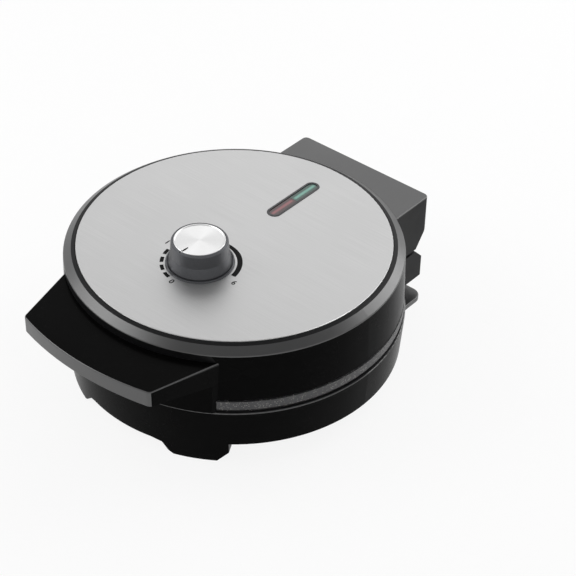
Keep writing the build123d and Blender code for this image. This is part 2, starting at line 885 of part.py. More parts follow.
def reflector_screw_places():
    """Places of the screws that hold a reflector to its plate."""
    return [polar(reflector_post_at, angle) for angle in reflector_angles]


def reflector_screws(up):
    z = upper_reflector_z + reflector_t if up else lower_reflector_z
    return [screw(x, y, z, reflector_screw_l, not up, small_screw_r, small_head_r, reflector_head_h)
            for x, y in reflector_screw_places()]


def plate_screws(up):
    z = upper_face_z + plate_screw_sink if up else lower_face_z - plate_screw_sink
    length = upper_plate_screw_l if up else lower_plate_screw_l
    return [screw(*polar(plate_screw_r, angle), z, length, up, screw_r, screw_head_r - head_gap,
                  screw_head_h - plate_screw_sink, True) for angle in screw_angles]


def thermostat():
    low = thermostat_z
    high = low + thermostat_h
    case = block(-thermostat_w / 2, thermostat_w / 2, knob_y - thermostat_d / 2,
                 knob_y + thermostat_d / 2, low, high)
    case = fillet(case.edges().filter_by(Axis.Z), thermostat_corner_r)
    case += disc(thermostat_bush_r, high, high + thermostat_bush_h, 0, knob_y)
    half = thermostat_w / 2 + thermostat_blade_l
    blade_z = high - thermostat_blade_drop
    case += block(-half, half, knob_y - thermostat_blade_w / 2, knob_y + thermostat_blade_w / 2,
                  blade_z, blade_z + thermostat_blade_t)
    well = low + thermostat_well
    return case - disc(spindle_r + pin_gap, well, high + thermostat_bush_h + over, 0, knob_y)


def strap_screw_places():
    """Places of the two screws that hold the thermostat's strap to the reflector."""
    return [(side * (strap_l + strap_foot) / 2, knob_y) for side in (-1, 1)]


def thermostat_bracket():
    base = upper_reflector_z + reflector_t
    top = thermostat_z
    strap = block(-strap_l / 2, strap_l / 2, knob_y - strap_w / 2, knob_y + strap_w / 2,
                  top - strap_t, top)
    for side in (-1, 1):
        x0, x1 = sorted((side * strap_l / 2, side * (strap_l / 2 - strap_t)))
        strap += block(x0, x1, knob_y - strap_w / 2, knob_y + strap_w / 2, base, top)
        x0, x1 = sorted((side * (strap_l / 2 - strap_t), side * (strap_l / 2 + strap_foot)))
        strap += block(x0, x1, knob_y - strap_w / 2, knob_y + strap_w / 2, base, base + strap_t)
    for x, y in strap_screw_places():
        strap -= disc(small_hole_r, base - over, base + strap_t + over, x, y)
    return strap


def thermostat_screws():
    z = upper_reflector_z + reflector_t + strap_t
    return [screw(x, y, z, strap_screw_l, False, small_screw_r, small_head_r, small_head_h)
            for x, y in strap_screw_places()]


def thermostat_spindle():
    low = thermostat_z + thermostat_well + body_gap
    high = knob_top_z - knob_roof - cap_t - spindle_short
    rod = disc(spindle_r, low, high, 0, knob_y)
    flat = block(-spindle_r, spindle_r, knob_y + spindle_r - spindle_flat,
                 knob_y + spindle_r + over, knob_foot_z + knob_boss_lift, high + over)
    return rod - flat


def knob_body():
    top = knob_top_z
    height = top - knob_foot_z
    waist = knob_rim_r + knob_waist
    foot = (knob_foot_r, knob_foot_z + knob_foot_h)
    shoulder = (waist, top - knob_rim_h)
    rim = (knob_rim_r - knob_rim_in, top)
    outline = [(0, knob_foot_z), (knob_foot_r, knob_foot_z), foot,
               (waist + knob_flare, knob_foot_z + height * knob_flare_at), shoulder, rim,
               (cap_r + cap_gap, top), (cap_r + cap_gap, top - cap_t), (0, top - cap_t)]
    body = revolved(outline, [(foot, knob_edge_r), (shoulder, knob_rim_in), (rim, knob_edge_r)])
    roof = top - cap_t - knob_roof
    body -= revolved([(0, knob_foot_z - over), (knob_foot_r - knob_wall, knob_foot_z - over),
                      (knob_rim_r - knob_wall, roof), (0, roof)])
    boss_z = knob_foot_z + knob_boss_lift
    body += disc(knob_boss_r, boss_z, roof)
    hole = disc(spindle_r + spindle_gap, knob_foot_z, roof)
    hole -= block(-spindle_r - over, spindle_r + over, spindle_r - spindle_flat + spindle_gap,
                  spindle_r + over, knob_foot_z, roof + over)
    body -= hole
    body -= pointer_cut()
    return Pos(0, knob_y, 0) * body


def pointer_cut():
    """Groove that points at the scale, across the rim and the cap."""
    y0 = -knob_rim_r - over
    return block(-pointer_w / 2, pointer_w / 2, y0, y0 + pointer_l, knob_top_z - pointer_depth,
                 knob_top_z + over)


def knob_cap():
    top = knob_top_z
    land = cap_r - cap_edge - cap_land
    cap = revolved([(0, top - cap_t), (cap_r, top - cap_t), (cap_r, top - cap_edge),
                    (cap_r - cap_edge, top), (land, top), (land - cap_dish, top - cap_dish),
                    (0, top - cap_dish)])
    return Pos(0, knob_y, 0) * (cap - pointer_cut())


def thermal_fuse():
    """Fuse in its sleeve, lying on the upper reflector."""
    z = upper_reflector_z + reflector_t + fuse_r
    return rod_x(fuse_r, fuse_x - fuse_l / 2, fuse_x + fuse_l / 2, fuse_y, z)


def fuse_clip():
    z = upper_reflector_z + reflector_t
    outer = fuse_r + fuse_clip_t
    saddle = rod_x(outer, fuse_x - fuse_clip_w / 2, fuse_x + fuse_clip_w / 2, fuse_y, z + fuse_r)
    saddle += block(fuse_x - fuse_clip_w / 2, fuse_x + fuse_clip_w / 2, fuse_y - outer,
                    fuse_y + outer, z, z + fuse_r)
    saddle += block(fuse_x - fuse_clip_w / 2, fuse_x + fuse_clip_w / 2,
                    fuse_y - outer - fuse_clip_foot, fuse_y + outer, z, z + fuse_clip_t)
    saddle &= block(fuse_x - fuse_l, fuse_x + fuse_l, fuse_y - reach, fuse_y + reach, z, z + reach)
    saddle -= rod_x(fuse_r + press_gap, fuse_x - fuse_l, fuse_x + fuse_l, fuse_y, z + fuse_r)
    return saddle - block(fuse_x - fuse_l, fuse_x + fuse_l, fuse_y - fuse_r, fuse_y + fuse_r,
                          z - over, z + fuse_r)


# Base pieces
def foot_prism(inset, low_inset, depth_in, depth_out):
    """Right front foot as an outline on the wall, drawn through it."""
    top = wall_foot_z + foot_root
    points = [(foot_outer_half - inset, top), (foot_outer_half - inset, foot_outer_z + low_inset),
              (foot_half - inset, foot_z + low_inset), (-foot_half + inset, foot_z + low_inset),
              (-foot_inner_half + inset, foot_inner_z + low_inset),
              (-foot_flare_half + inset, foot_flare_z + low_inset)]
    if inset:
        points.append((-foot_flare_half + inset, top))
    else:
        points += [(-foot_skirt_half, front_skirt_z), (-foot_skirt_half, top)]
    angle = radians(foot_angle)
    out = Vector(cos(angle), sin(angle), 0)
    along = Vector(-sin(angle), cos(angle), 0)
    plane = Plane(origin=out * depth_in, x_dir=along, z_dir=out)
    return extrude(plane * make_face(Polyline(*points, close=True)), amount=depth_out - depth_in)


def front_feet():
    """The two front feet, hollow towards the inside."""
    outside = lower_wall_solid(0, foot_z, wall_foot_z + foot_root)
    foot = foot_prism(0, 0, wall_foot_r - foot_depth, lip_r + foot_depth) & outside
    foot -= foot_prism(wall, foot_seat, wall_foot_r - foot_depth - over, wall_foot_r - foot_shell)
    foot &= block(-reach, reach, -reach, 0, foot_z, wall_foot_z + foot_root / 2)
    x, y = foot_pad_place()
    foot -= disc(pad_r + pad_gap, foot_z - over, pad_t, x, y)
    return both_sides(foot)


def foot_pad_place():
    """Centre of the right front foot's pad."""
    return polar(wall_foot_r - (foot_depth + pad_gap + over) / 2, foot_angle)


def lower_block_solid(inset):
    """Hinge block of the base, drawn in by inset and open at its foot."""
    low = low_block_z - (over if inset else 0)
    plan = block_plan(inset, lower_block_y, lower_corner_r)
    solid = prism_z(plan, low, lower_block_top_z - inset)
    return solid - behind_slant(lower_slant_deg, False, inset)


def lower_housing():
    wall_shell = lower_wall_solid(0, front_skirt_z, lip_z, lip_edge_r)
    wall_shell -= lower_wall_solid(wall, 0, lip_z + over)
    below = block(-reach, reach, -reach, reach, 0, wall_foot_z)
    keep_front = block(-skirt_half, skirt_half, -reach, 0, front_skirt_z, wall_foot_z)
    wall_shell -= below - keep_front
    block_out = lower_block_solid(0)
    body = wall_shell + (block_out - lower_wall_solid(wall, 0, lip_z))
    body -= lower_block_solid(wall) - lower_wall_solid(0, wall_foot_z, lip_z)
    body += hinge_lining(block_out) - lower_wall_solid(wall, 0, lip_z)
    body += front_feet()
    # floor ring, the seat of the bottom cover and the ledge under the cooking plate
    floor_r = lower_wall_r(wall_foot_z) - wall / 2
    body += ring(floor_r, cover_r, wall_foot_z, floor_top_z)
    body += ring(cover_r + over, seat_ring_in_r, seat_ring_z, floor_top_z)
    ledge_out = lower_wall_r(ledge_z) - wall / 2
    ledge_in = lower_plate_r - skirt_w - ledge_extra
    body += revolved([(ledge_out, ledge_z), (ledge_in, ledge_z), (ledge_in, ledge_z - ledge_t),
                      (ledge_out, ledge_z - ledge_h)])
    for angle in screw_angles:
        x, y = polar(plate_screw_r, angle)
        body += disc(plate_post_r, floor_top_z - over, lower_face_z - plate_rim_t, x, y)
        body -= disc(screw_hole_r, floor_top_z + wall, lower_face_z, x, y)
    for x, y in cover_screw_places():
        body += disc(cover_boss_r, seat_ring_z, floor_top_z + cover_boss_h, x, y)
        body -= disc(small_hole_r, seat_ring_z - over, floor_top_z + cover_boss_h - over, x, y)
    # passage for the leads, the gland's hole, and the bosses for the rear foot
    body -= block(-passage_half, passage_half, lip_r - 4 * wall, lip_r + wall,
                  floor_top_z + over, lower_block_top_z - 3 * wall)
    body -= rod_y(gland_r + seat_gap, lower_block_y - 2 * wall, lower_block_y + over, 0, gland_z)
    for x, y in rear_screw_places():
        body += disc(cover_boss_r, rear_plate_top_z, lower_block_top_z - wall, x, y) & block_out
        body -= disc(small_hole_r, rear_plate_top_z - over, rear_plate_top_z + hinge_screw_l, x, y)
    # hinge ears, the pockets of the lid's knuckles and the bore for the pins
    pocket = rod_x(pocket_r, knuckle_in_x - hinge_gap, knuckle_out_x + hinge_gap, hinge_y, hinge_z)
    body -= both_sides(pocket)
    for x0, x1 in ear_spans:
        body += both_sides(rod_x(knuckle_r, x0, x1, hinge_y, hinge_z))
    bore = rod_x(pin_r + press_gap, ear_spans[0][0], ear_spans[1][1] + over, hinge_y, hinge_z)
    return body - both_sides(bore)


def cover_screw_places():
    """Places of the bottom cover's screws."""
    return [polar(cover_screw_r, angle) for angle in (0, 90, 180, 270)]


def rear_screw_places():
    """Places of the rear foot's screws."""
    y = lower_block_y - wall - cover_boss_r - over
    return [(-rear_screw_x, y), (rear_screw_x, y)]


def bottom_cover():
    cover = disc(cover_r - body_gap, wall_foot_z, cover_top_z)
    for x, y in cover_screw_places():
        cover -= disc(small_hole_r, wall_foot_z - over, cover_top_z + over, x, y)
        cover -= disc(small_head_r + head_gap, wall_foot_z - over, wall_foot_z + small_head_h, x, y)
    for row in (-1, 1):
        for i in range(vent_count):
            x = (i - (vent_count - 1) / 2) * vent_pitch
            slot = Pos(x, row * vent_y) * SlotOverall(vent_l, vent_w, rotation=90)
            cover -= prism_z(slot, wall_foot_z - over, cover_top_z + over)
    return cover


def bottom_cover_screws():
    z = wall_foot_z + small_head_h
    return [screw(x, y, z, bottom_screw_l, True, small_screw_r, small_head_r, small_head_h)
            for x, y in cover_screw_places()]


def rear_foot():
    plate = prism_z(block_plan(wall + seat_gap, lower_block_y, lower_corner_r),
                    low_block_z, rear_plate_top_z)
    plate -= disc(wall_foot_r + seat_gap, low_block_z - over, rear_plate_top_z + over)
    neck = ring(wall_foot_r + seat_gap + neck_t, wall_foot_r + seat_gap, foot_z, low_block_z)
    neck &= block(-neck_half, neck_half, 0, reach, foot_z, low_block_z)
    depth = wrap_y - block_root_y
    plan = Pos(0, block_root_y + depth / 2) * Rectangle(2 * wrap_half, depth)
    rear = plan.vertices().filter_by(lambda v: v.Y > block_root_y + depth / 2)
    flange = prism_z(fillet(rear, wrap_corner_r), foot_z, flange_top_z)
    flange = outer_fillet(flange, flange_top_z, edge_r)
    flange -= disc(wrap_in_r, foot_z - over, flange_top_z + over)
    foot = plate + neck + flange
    foot -= block(-gland_r - body_gap, gland_r + body_gap, lower_block_y - gland_in - body_gap,
                  lower_block_y, low_block_z - over, rear_plate_top_z + over)
    for x, y in rear_screw_places():
        foot -= disc(small_hole_r, low_block_z - over, rear_plate_top_z + over, x, y)
    for side in (-1, 1):
        foot -= disc(pad_r + pad_gap, foot_z - over, pad_t, side * rear_pad_x, rear_pad_y)
    return foot


def rear_foot_screws():
    return [screw(x, y, low_block_z, hinge_screw_l, True, small_screw_r, small_head_r, small_head_h)
            for x, y in rear_screw_places()]


def foot_pads():
    x, y = foot_pad_place()
    places = [(x, y), (-x, y), (-rear_pad_x, rear_pad_y), (rear_pad_x, rear_pad_y)]
    return [disc(pad_r, 0, pad_t, px, py) for px, py in places]


def hinge_pins():
    x0 = ear_spans[0][0] + body_gap
    x1 = ear_spans[1][1] - seat_gap
    pin = rod_x(pin_r, x0, x1, hinge_y, hinge_z)
    return [pin, mirror(pin, about=Plane.YZ)]


def cord_gland():
    inner = lower_block_y - gland_in
    bush = rod_y(gland_r, inner, lower_block_y, 0, gland_z)
    bush += rod_y(gland_flange_r, lower_block_y, lower_block_y + gland_flange_t, 0, gland_z)
    return bush - rod_y(gland_bore_r, inner - over, lower_block_y + 2 * over, 0, gland_z)


def cord_clamp():
    """Bar over the cord's inner end, held on the rear foot's plate by two screws."""
    low = rear_plate_top_z
    bar = block(-clamp_w / 2, clamp_w / 2, clamp_y - clamp_d / 2, clamp_y + clamp_d / 2,
                low, gland_z + gland_bore_r + clamp_t)
    bar -= rod_y(gland_bore_r, clamp_y - clamp_d, clamp_y + clamp_d, 0, gland_z)
    bar -= block(-gland_bore_r, gland_bore_r, clamp_y - clamp_d, clamp_y + clamp_d,
                 low - over, gland_z)
    for x in clamp_screw_places():
        bar -= disc(small_hole_r, low - over, reach, x, clamp_y)
    return bar


def clamp_screw_places():
    """Sideways places of the clamp's two screws."""
    x = (clamp_w / 2 + gland_bore_r) / 2
    return [-x, x]


def cord_clamp_screws():
    top = gland_z + gland_bore_r + clamp_t
    length = top - rear_plate_top_z
    return [screw(x, clamp_y, top, length, False, small_screw_r, small_head_r, small_head_h)
            for x in clamp_screw_places()]


def terminal_block():
    low = rear_plate_top_z
    body = block(-block_x - block_w / 2, -block_x + block_w / 2, block_y - block_d / 2,
                 block_y + block_d / 2, low, low + block_h)
    for i in (-1, 0, 1):
        x = -block_x + i * block_w / 3
        body -= disc(block_hole_r, low + block_h / 2, low + block_h + over, x, block_y)
    return body


# Leads
def element_lead_end(side, z):
    """Where a lead meets the terminal pin at one end of an element, and its first bend."""
    angle = 90 + side * element_gap_deg
    start = polar(element_r + lead_out + terminal_l + wire_gap, angle)
    bend = polar(element_r + lead_out + terminal_l + terminal_l, angle)
    return (*start, z), (*bend, z)


def lid_wires():
    """Leads in the lid: from the element's ends and the thermostat back to the hinge block."""
    pin_z = upper_back_z + channel_h
    end_y = hinge_y - 5
    wires = []
    for side in (-1, 1):
        start, bend = element_lead_end(side, pin_z)
        x = bend[0] * 0.75
        points = [start, bend, (x, lid_edge_r - 6, pin_z + 1), (x, end_y, pin_z - 1)]
        wires.append(tube(points, wire_r, 3))
    z = thermostat_z + thermostat_h - thermostat_blade_drop - wire_r - wire_gap
    for side in (-1, 1):
        x = side * (thermostat_w / 2 + 5)
        points = [(x, knob_y + 1, z), (x, knob_y + 40, z), (x * 0.7, lid_edge_r - 22, z - 1),
                  (x * 0.6, lid_edge_r - 4, pin_z + 7), (x * 0.6, end_y, pin_z + 5)]
        wires.append(tube(points, wire_r, 5))
    return wires


def base_wires():
    """Leads in the base: from the element's ends to the terminal block."""
    pin_z = lower_back_z - channel_h
    top_z = rear_plate_top_z + block_h + wire_r + wire_gap
    wires = []
    for side in (-1, 1):
        start, bend = element_lead_end(side, pin_z)
        end_x = -block_x - side * 5
        points = [start, bend, (bend[0], lip_r - 6, top_z + 1), (end_x + 4, block_y - 7, top_z),
                  (end_x, block_y + 2, top_z)]
        wires.append(tube(points, wire_r, 3))
    return wires


pieces = {
    "upper_housing": upper_housing,
    "lid_hinge_cover": lid_hinge_cover,
    "lid_hinge_cover_screws": lid_hinge_cover_screws,
    "handle_cover": handle_cover,
    "handle_cover_screws": handle_cover_screws,
    "top_disc": top_disc,
    "window_bezel": window_bezel,
    "lens_red": lambda: lens(True),
    "lens_green": lambda: lens(False),
    "lamp_holder": lamp_holder,
    "indicator_lamps": indicator_lamps,
    "dial_bezel": dial_bezel,
    "upper_cooking_plate": lambda: cooking_plate(upper_face_z, True, plate_rim_r),
    "upper_plate_screws": lambda: plate_screws(True),
    "upper_element": lambda: heating_element(True),
    "upper_reflector": lambda: reflector(True),
    "upper_reflector_screws": lambda: reflector_screws(True),
    "thermostat": thermostat,
    "thermostat_bracket": thermostat_bracket,
    "thermostat_screws": thermostat_screws,
    "thermal_fuse": thermal_fuse,
    "fuse_clip": fuse_clip,
    "lid_wires": lid_wires,
    "knob_body": knob_body,
    "knob_cap": knob_cap,
    "thermostat_spindle": thermostat_spindle,
    "lower_housing": lower_housing,
    "lower_cooking_plate": lambda: cooking_plate(lower_face_z, False, lower_plate_r),
    "lower_plate_screws": lambda: plate_screws(False),
    "lower_element": lambda: heating_element(False),
    "lower_reflector": lambda: reflector(False),
    "lower_reflector_screws": lambda: reflector_screws(False),
    "bottom_cover": bottom_cover,
    "bottom_cover_screws": bottom_cover_screws,
    "rear_foot": rear_foot,
    "rear_foot_screws": rear_foot_screws,
    "foot_pads": foot_pads,
    "hinge_pins": hinge_pins,
    "cord_gland": cord_gland,
    "cord_clamp": cord_clamp,
    "cord_clamp_screws": cord_clamp_screws,
    "terminal_block": terminal_block,
    "base_wires": base_wires,
}

os.makedirs("parts", exist_ok=True)
for name, make in pieces.items():
    shape = make()
    if isinstance(shape, list):
        solids = [solid for item in shape for solid in item.solids()]
    else:
        solids = list(shape.solids())
    whole = solids[0] if len(solids) == 1 else Compound(solids)
    export_step(Pos(0, -origin_y, 0) * whole, f"parts/{name}.step")
    print(name, len(solids))
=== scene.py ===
"""Looks of a round belgian waffle maker with a steel top disc, a turning knob and a hinged lid."""

import math

import bmesh
import bpy
from bpy.props import FloatProperty, FloatVectorProperty, PointerProperty, StringProperty
from mathutils import Matrix, Vector


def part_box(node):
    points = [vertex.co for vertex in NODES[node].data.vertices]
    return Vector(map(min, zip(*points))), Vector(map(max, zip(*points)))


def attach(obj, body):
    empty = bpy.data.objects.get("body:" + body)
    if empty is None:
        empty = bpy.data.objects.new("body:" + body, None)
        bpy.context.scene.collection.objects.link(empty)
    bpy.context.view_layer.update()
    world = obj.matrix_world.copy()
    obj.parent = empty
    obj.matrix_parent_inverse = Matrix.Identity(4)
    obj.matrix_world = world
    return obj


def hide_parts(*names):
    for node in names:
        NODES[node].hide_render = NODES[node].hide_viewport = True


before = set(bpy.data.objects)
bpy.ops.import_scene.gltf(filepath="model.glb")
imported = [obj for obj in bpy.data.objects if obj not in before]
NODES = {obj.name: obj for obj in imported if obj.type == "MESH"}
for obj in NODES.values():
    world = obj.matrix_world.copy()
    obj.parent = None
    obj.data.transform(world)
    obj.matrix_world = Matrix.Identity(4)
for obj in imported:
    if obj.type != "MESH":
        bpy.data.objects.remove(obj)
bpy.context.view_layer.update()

bl_info = {
    "name": "Waffle maker looks",
    "version": (1, 0, 0),
    "blender": (4, 5, 0),
    "location": "3D View > Sidebar > Waffle maker",
    "description": "Gives the waffle maker its finishes, its printed scale and its studio",
    "category": "Object",
}

MM = 0.001

# Places read from the frame
KNOB_LOW, KNOB_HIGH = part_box("knob_cap")
KNOB_AT = (KNOB_LOW + KNOB_HIGH) / 2
DISC_LOW, DISC_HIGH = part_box("top_disc")
DISC_AT = (DISC_LOW + DISC_HIGH) / 2
DISC_TOP = DISC_HIGH.z
LENS_RED_LOW, LENS_RED_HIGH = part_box("lens_red")
LENS_GREEN_LOW, LENS_GREEN_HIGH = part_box("lens_green")

WHITE = (1.0, 1.0, 1.0, 1.0)
# Most of a noise texture's values lie between these
NOISE_LOW, NOISE_HIGH = 0.3, 0.7

# Where the housings' materials change, the painted highlight and painted shade copies among them,
# in millimetres:
# X, Y and Z from the frame's origin, R from the round body's axis
SEAT_Z, SEAT_R = 88.9, 103.7
RIM_Z, RIM_INNER_R, RIM_OUTER_R = 85.1, 100.0, 110.2
BLOCK_Y, BLOCK_HALF, BLOCK_R, BLOCK_TOP_Z = 92.0, 54.8, 111.6, 77.6
HANDLE_FRONT_Y, HANDLE_EDGE_Y, HANDLE_EDGE_Z = -125.0, -85.0, 79.5
WALL_Y, WALL_Z, WALL_HALF = -80.0, 80.0, 63.0
LIP_Z, LIP_R = 41.5, 109.0
# Parts of a face's normal: square to an axis, leaning towards it, and a rounded edge between
SQUARE, LEANING = 0.9, 0.5
EDGE_LOW, EDGE_HIGH = 0.1, 0.97

# Printed scale: degrees from +X towards +Y, and millimetres from the knob's axis
ARC_START, ARC_END, ARC_STEPS, ARC_GROWTH = 165.0, 7.5, 72, 1.5
DASHES, DASH_STEPS = (194.6, 214.4, 233.8, 253.0), 6
OFF_AT, LOW_AT, HIGH_AT = (270.0, 26.0), (177.0, 29.6), (-3.0, 29.7)
CAPITAL_HEIGHT = 0.72
BOLDNESS = 0.03
INK_LIFT = 0.01 * MM
POINTER_DROP = 0.39 * MM
POINTER_INSET = 0.9 * MM
ROUND_STEPS = 8

# Studio
SENSOR_WIDTH = 36.0
CLIP = (0.01, 20.0)
FLOOR_SWEEP, SWEEP_STEPS, FLOOR_STEPS = 0.9, 12, 96
FLOOR_FLATS = (0.0, 0.5, 1.5)
FLOOR_SHARE = 0.88


def linear(hex_code):
    """Linear colour, with alpha 1, of an sRGB hex value."""
    parts = [int(hex_code[i:i + 2], 16) / 255 for i in (1, 3, 5)]
    made = [c / 12.92 if c <= 0.04045 else ((c + 0.055) / 1.055) ** 2.4 for c in parts]
    return tuple(made) + (1.0,)


def colour(name, hex_code, description):
    """Colour property whose default is written as sRGB."""
    return FloatVectorProperty(name=name, description=description, default=linear(hex_code),
                               size=4, min=0.0, max=1.0, subtype="COLOR")


def length(name, millimetres, description):
    """Length property whose default is written in millimetres."""
    return FloatProperty(name=name, description=description, default=millimetres * MM,
                         unit="LENGTH", subtype="DISTANCE", precision=5)


def turning(name, degrees, description):
    """Angle property whose default is written in degrees."""
    return FloatProperty(name=name, description=description, default=math.radians(degrees),
                         subtype="ANGLE")


def metres(name, value, description, least):
    """Length property whose default is written in metres."""
    return FloatProperty(name=name, description=description, default=value, min=least,
                         unit="LENGTH")


def power(name, watts, description):
    """Power property of a lamp."""
    return FloatProperty(name=name, description=description, default=watts, unit="POWER", min=0.0)


class WaffleView(bpy.types.PropertyGroup):
    """Where the camera stands."""

    azimuth: turning("Azimuth", 39.706, "Turn of the camera to the right of the handle")
    elevation: turning("Elevation", 38.477, "Height of the camera above the horizon")
    roll: turning("Roll", 1.128, "Turn of the camera about its own axis")
    distance: length("Distance", 1152.76, "From the camera to the point it looks at")
    target: FloatVectorProperty(name="Target", description="Point that the camera looks at",
                                default=(0.01946, 0.03329, 0.04369), subtype="TRANSLATION",
                                unit="LENGTH")
    lens: FloatProperty(name="Lens", description="Focal length", default=109.604, unit="CAMERA")


class WaffleStudio(bpy.types.PropertyGroup):
    """Floor, world and lamps."""

    floor_colour: colour("Floor", "#FAFAFA", "Colour of the plain floor and its upswept edge")
    floor_radius: metres("Floor radius", 3.5, "Distance to the floor's upswept edge", 2.0)
    floor_rise: metres("Floor rise", 2.2, "Height of the floor's upswept edge", 1.0)
    world_strength: FloatProperty(name="World", description="Strength of the even light from above",
                                  default=0.45, min=0.0)
    left_power: power("Left softbox", 5.2, "Power of the softbox on the left")
    rear_power: power("Rear softbox", 7.6, "Power of the softbox behind on the right")
    far_power: power("Far softbox", 2.3, "Power of the softbox behind on the left")


class WaffleFinish(bpy.types.PropertyGroup):
    """Colours of the materials, with painted shade and painted highlight colours among them."""

    housing: colour("Housing", "#161617", "Black heat-resistant moulding, fine eroded texture")
    # painted shade: near-black copy of the housing colour, for the walls
    housing_shaded: colour("Polished housing", "#040404", "Moulding from a polished mould")
    steel: colour("Top disc", "#C8C8C8", "Satin stainless steel sheet")
    aluminium: colour("Knob cap", "#E6E6E6", "Spun aluminium")
    knob: colour("Knob", "#66676A", "Dark metallic paint on the knob and its ring")
    ink: colour("Scale", "#050505", "Ink of the printed scale and the knob's pointer")
    coat: colour("Plate coat", "#3C3C3D", "Non-stick coat of the cooking plates")
    speck: colour("Plate specks", "#979592", "Light specks in the non-stick coat")
    lens_red: colour("Red lens", "#4A3234", "Tinted clear plastic over the power lamp")
    # painted highlight: the lighter streak along the red lens
    red_highlight: colour("Red lamp", "#8E5357", "The red lens where the lamp shows through")
    lens_green: colour("Green lens", "#35524B", "Tinted clear plastic over the ready lamp")
    # painted highlight: the lighter streak along the green lens
    green_highlight: colour("Green lamp", "#6FA898", "The green lens where the lamp shows through")


class WaffleScale(bpy.types.PropertyGroup):
    """Printed scale round the knob."""

    radius: length("Radius", 23.3, "Inner edge of the scale's arc")
    arc_thin: length("Arc, thin end", 0.6, "Width of the arc at the lowest setting")
    arc_thick: length("Arc, thick end", 3.3, "Width of the arc at the highest setting")
    dash_radius: length("Dash radius", 24.1, "Middle of the scale's dashes")
    dash_length: length("Dash length", 5.3, "Length of one dash along the scale")
    dash_width: length("Dash width", 2.4, "Width of one dash")
    digit_height: length("Digit height", 4.0, "Height of the numbers")
    pointer_length: length("Pointer length", 5.2, "Length of the line on the knob's cap")
    pointer_width: length("Pointer width", 0.9, "Width of the line on the knob's cap")
    ink_height: length("Ink height", 0.04, "Thickness of the printed ink")
    off_digit: StringProperty(name="Off", description="Number at the rest position", default="0")
    low_digit: StringProperty(name="Lowest", description="Number at the low end", default="1")
    high_digit: StringProperty(name="Highest", description="Number at the high end", default="6")


# Node helpers
def add_node(tree, kind, settings=(), inputs=(), links=()):
    """Add one node with its settings, its inputs' values and the sockets linked to its inputs."""
    made = tree.nodes.new(kind)
    for key, value in dict(settings).items():
        setattr(made, key, value)
    for key, value in dict(inputs).items():
        made.inputs[key].default_value = value
    for key, source in dict(links).items():
        tree.links.new(source, made.inputs[key])
    return made


def new_material(name, inputs):
    """Material with one Principled shader, and its tree and shader."""
    material = bpy.data.materials.new(name)
    material.use_nodes = True
    tree = material.node_tree
    tree.nodes.clear()
    shader = add_node(tree, "ShaderNodeBsdfPrincipled", inputs=inputs)
    add_node(tree, "ShaderNodeOutputMaterial", links={"Surface": shader.outputs["BSDF"]})
    return material, tree, shader


def object_point(tree):
    """The surface point at rest, in metres."""
    return add_node(tree, "ShaderNodeTexCoord").outputs["Object"]


def noise(tree, point, grain_mm, detail=3.0, stretch=(1.0, 1.0, 1.0)):
    """Noise whose patches are about grain_mm wide, times the stretch along each axis."""
    scale = tuple(1.0 / (grain_mm * MM * s) for s in stretch)
    spread = add_node(tree, "ShaderNodeMapping", {"vector_type": "POINT"}, {"Scale": scale},
                      {"Vector": point})
    return add_node(tree, "ShaderNodeTexNoise", inputs={"Scale": 1.0, "Detail": detail},
                    links={"Vector": spread.outputs[0]}).outputs[0]


def ranged(tree, value, from_low, from_high, to_low, to_high):
    """Value mapped from one range to another, held at its ends."""
    return add_node(tree, "ShaderNodeMapRange", {"interpolation_type": "SMOOTHSTEP"},
                    {"From Min": from_low, "From Max": from_high,
                     "To Min": to_low, "To Max": to_high},
                    {"Value": value}).outputs[0]


def between(tree, grain, low, high):
    """Noise mapped to a range."""
    return ranged(tree, grain, NOISE_LOW, NOISE_HIGH, low, high)


def sums(tree, operation, first, second=0.0):
    """One or two values put through one maths step. The second may be a number."""
    made = add_node(tree, "ShaderNodeMath", {"operation": operation}, links={0: first})
    if isinstance(second, bpy.types.NodeSocket):
        tree.links.new(second, made.inputs[1])
    else:
        made.inputs[1].default_value = second
    return made.outputs[0]


def mixed(tree, factor, first, second):
    """Colour between two colours, each a value or a socket."""
    made = add_node(tree, "ShaderNodeMix", {"data_type": "RGBA"})
    tree.links.new(factor, made.inputs[0])
    # sockets 6 and 7 are the mix's two colours, and output 2 is its colour
    for index, given in ((6, first), (7, second)):
        if isinstance(given, bpy.types.NodeSocket):
            tree.links.new(given, made.inputs[index])
        else:
            made.inputs[index].default_value = given
    return made.outputs[2]


def bump(tree, height, strength, depth_mm):
    """Normal raised by a height, up to depth_mm."""
    return add_node(tree, "ShaderNodeBump",
                    inputs={"Strength": strength, "Distance": depth_mm * MM},
                    links={"Height": height}).outputs[0]


def from_axis(tree, point, centre):
    """Distance of a point from an upright axis."""
    moved = add_node(tree, "ShaderNodeVectorMath", {"operation": "SUBTRACT"},
                     {1: (centre.x, centre.y, 0.0)}, {0: point})
    flat = add_node(tree, "ShaderNodeVectorMath", {"operation": "MULTIPLY"}, {1: (1.0, 1.0, 0.0)},
                    {0: moved.outputs[0]})
    return add_node(tree, "ShaderNodeVectorMath", {"operation": "LENGTH"},
                    links={0: flat.outputs[0]}).outputs["Value"]


# Materials
def highlit_pbt(finish):
    """Copy of the glass-filled PBT moulding for the faces that catch the light: painted highlight,
    a lighter colour and full gloss, over a fine spark-eroded grain.
    """
    material, tree, shader = new_material("highlit_pbt", {"IOR": 1.55, "Specular IOR Level": 1.0})
    point = object_point(tree)
    cloud = noise(tree, point, 30.0, 2.0)
    tree.links.new(mixed(tree, cloud, tuple(finish.housing), linear("#1D1D1E")),
                   shader.inputs["Base Color"])
    tree.links.new(between(tree, cloud, 0.30, 0.35), shader.inputs["Roughness"])
    # real grain is about 0.1 mm wide, and is drawn 0.8 mm wide so that it shows
    tree.links.new(bump(tree, noise(tree, point, 0.8, 4.0), 0.1, 0.04), shader.inputs["Normal"])
    return material


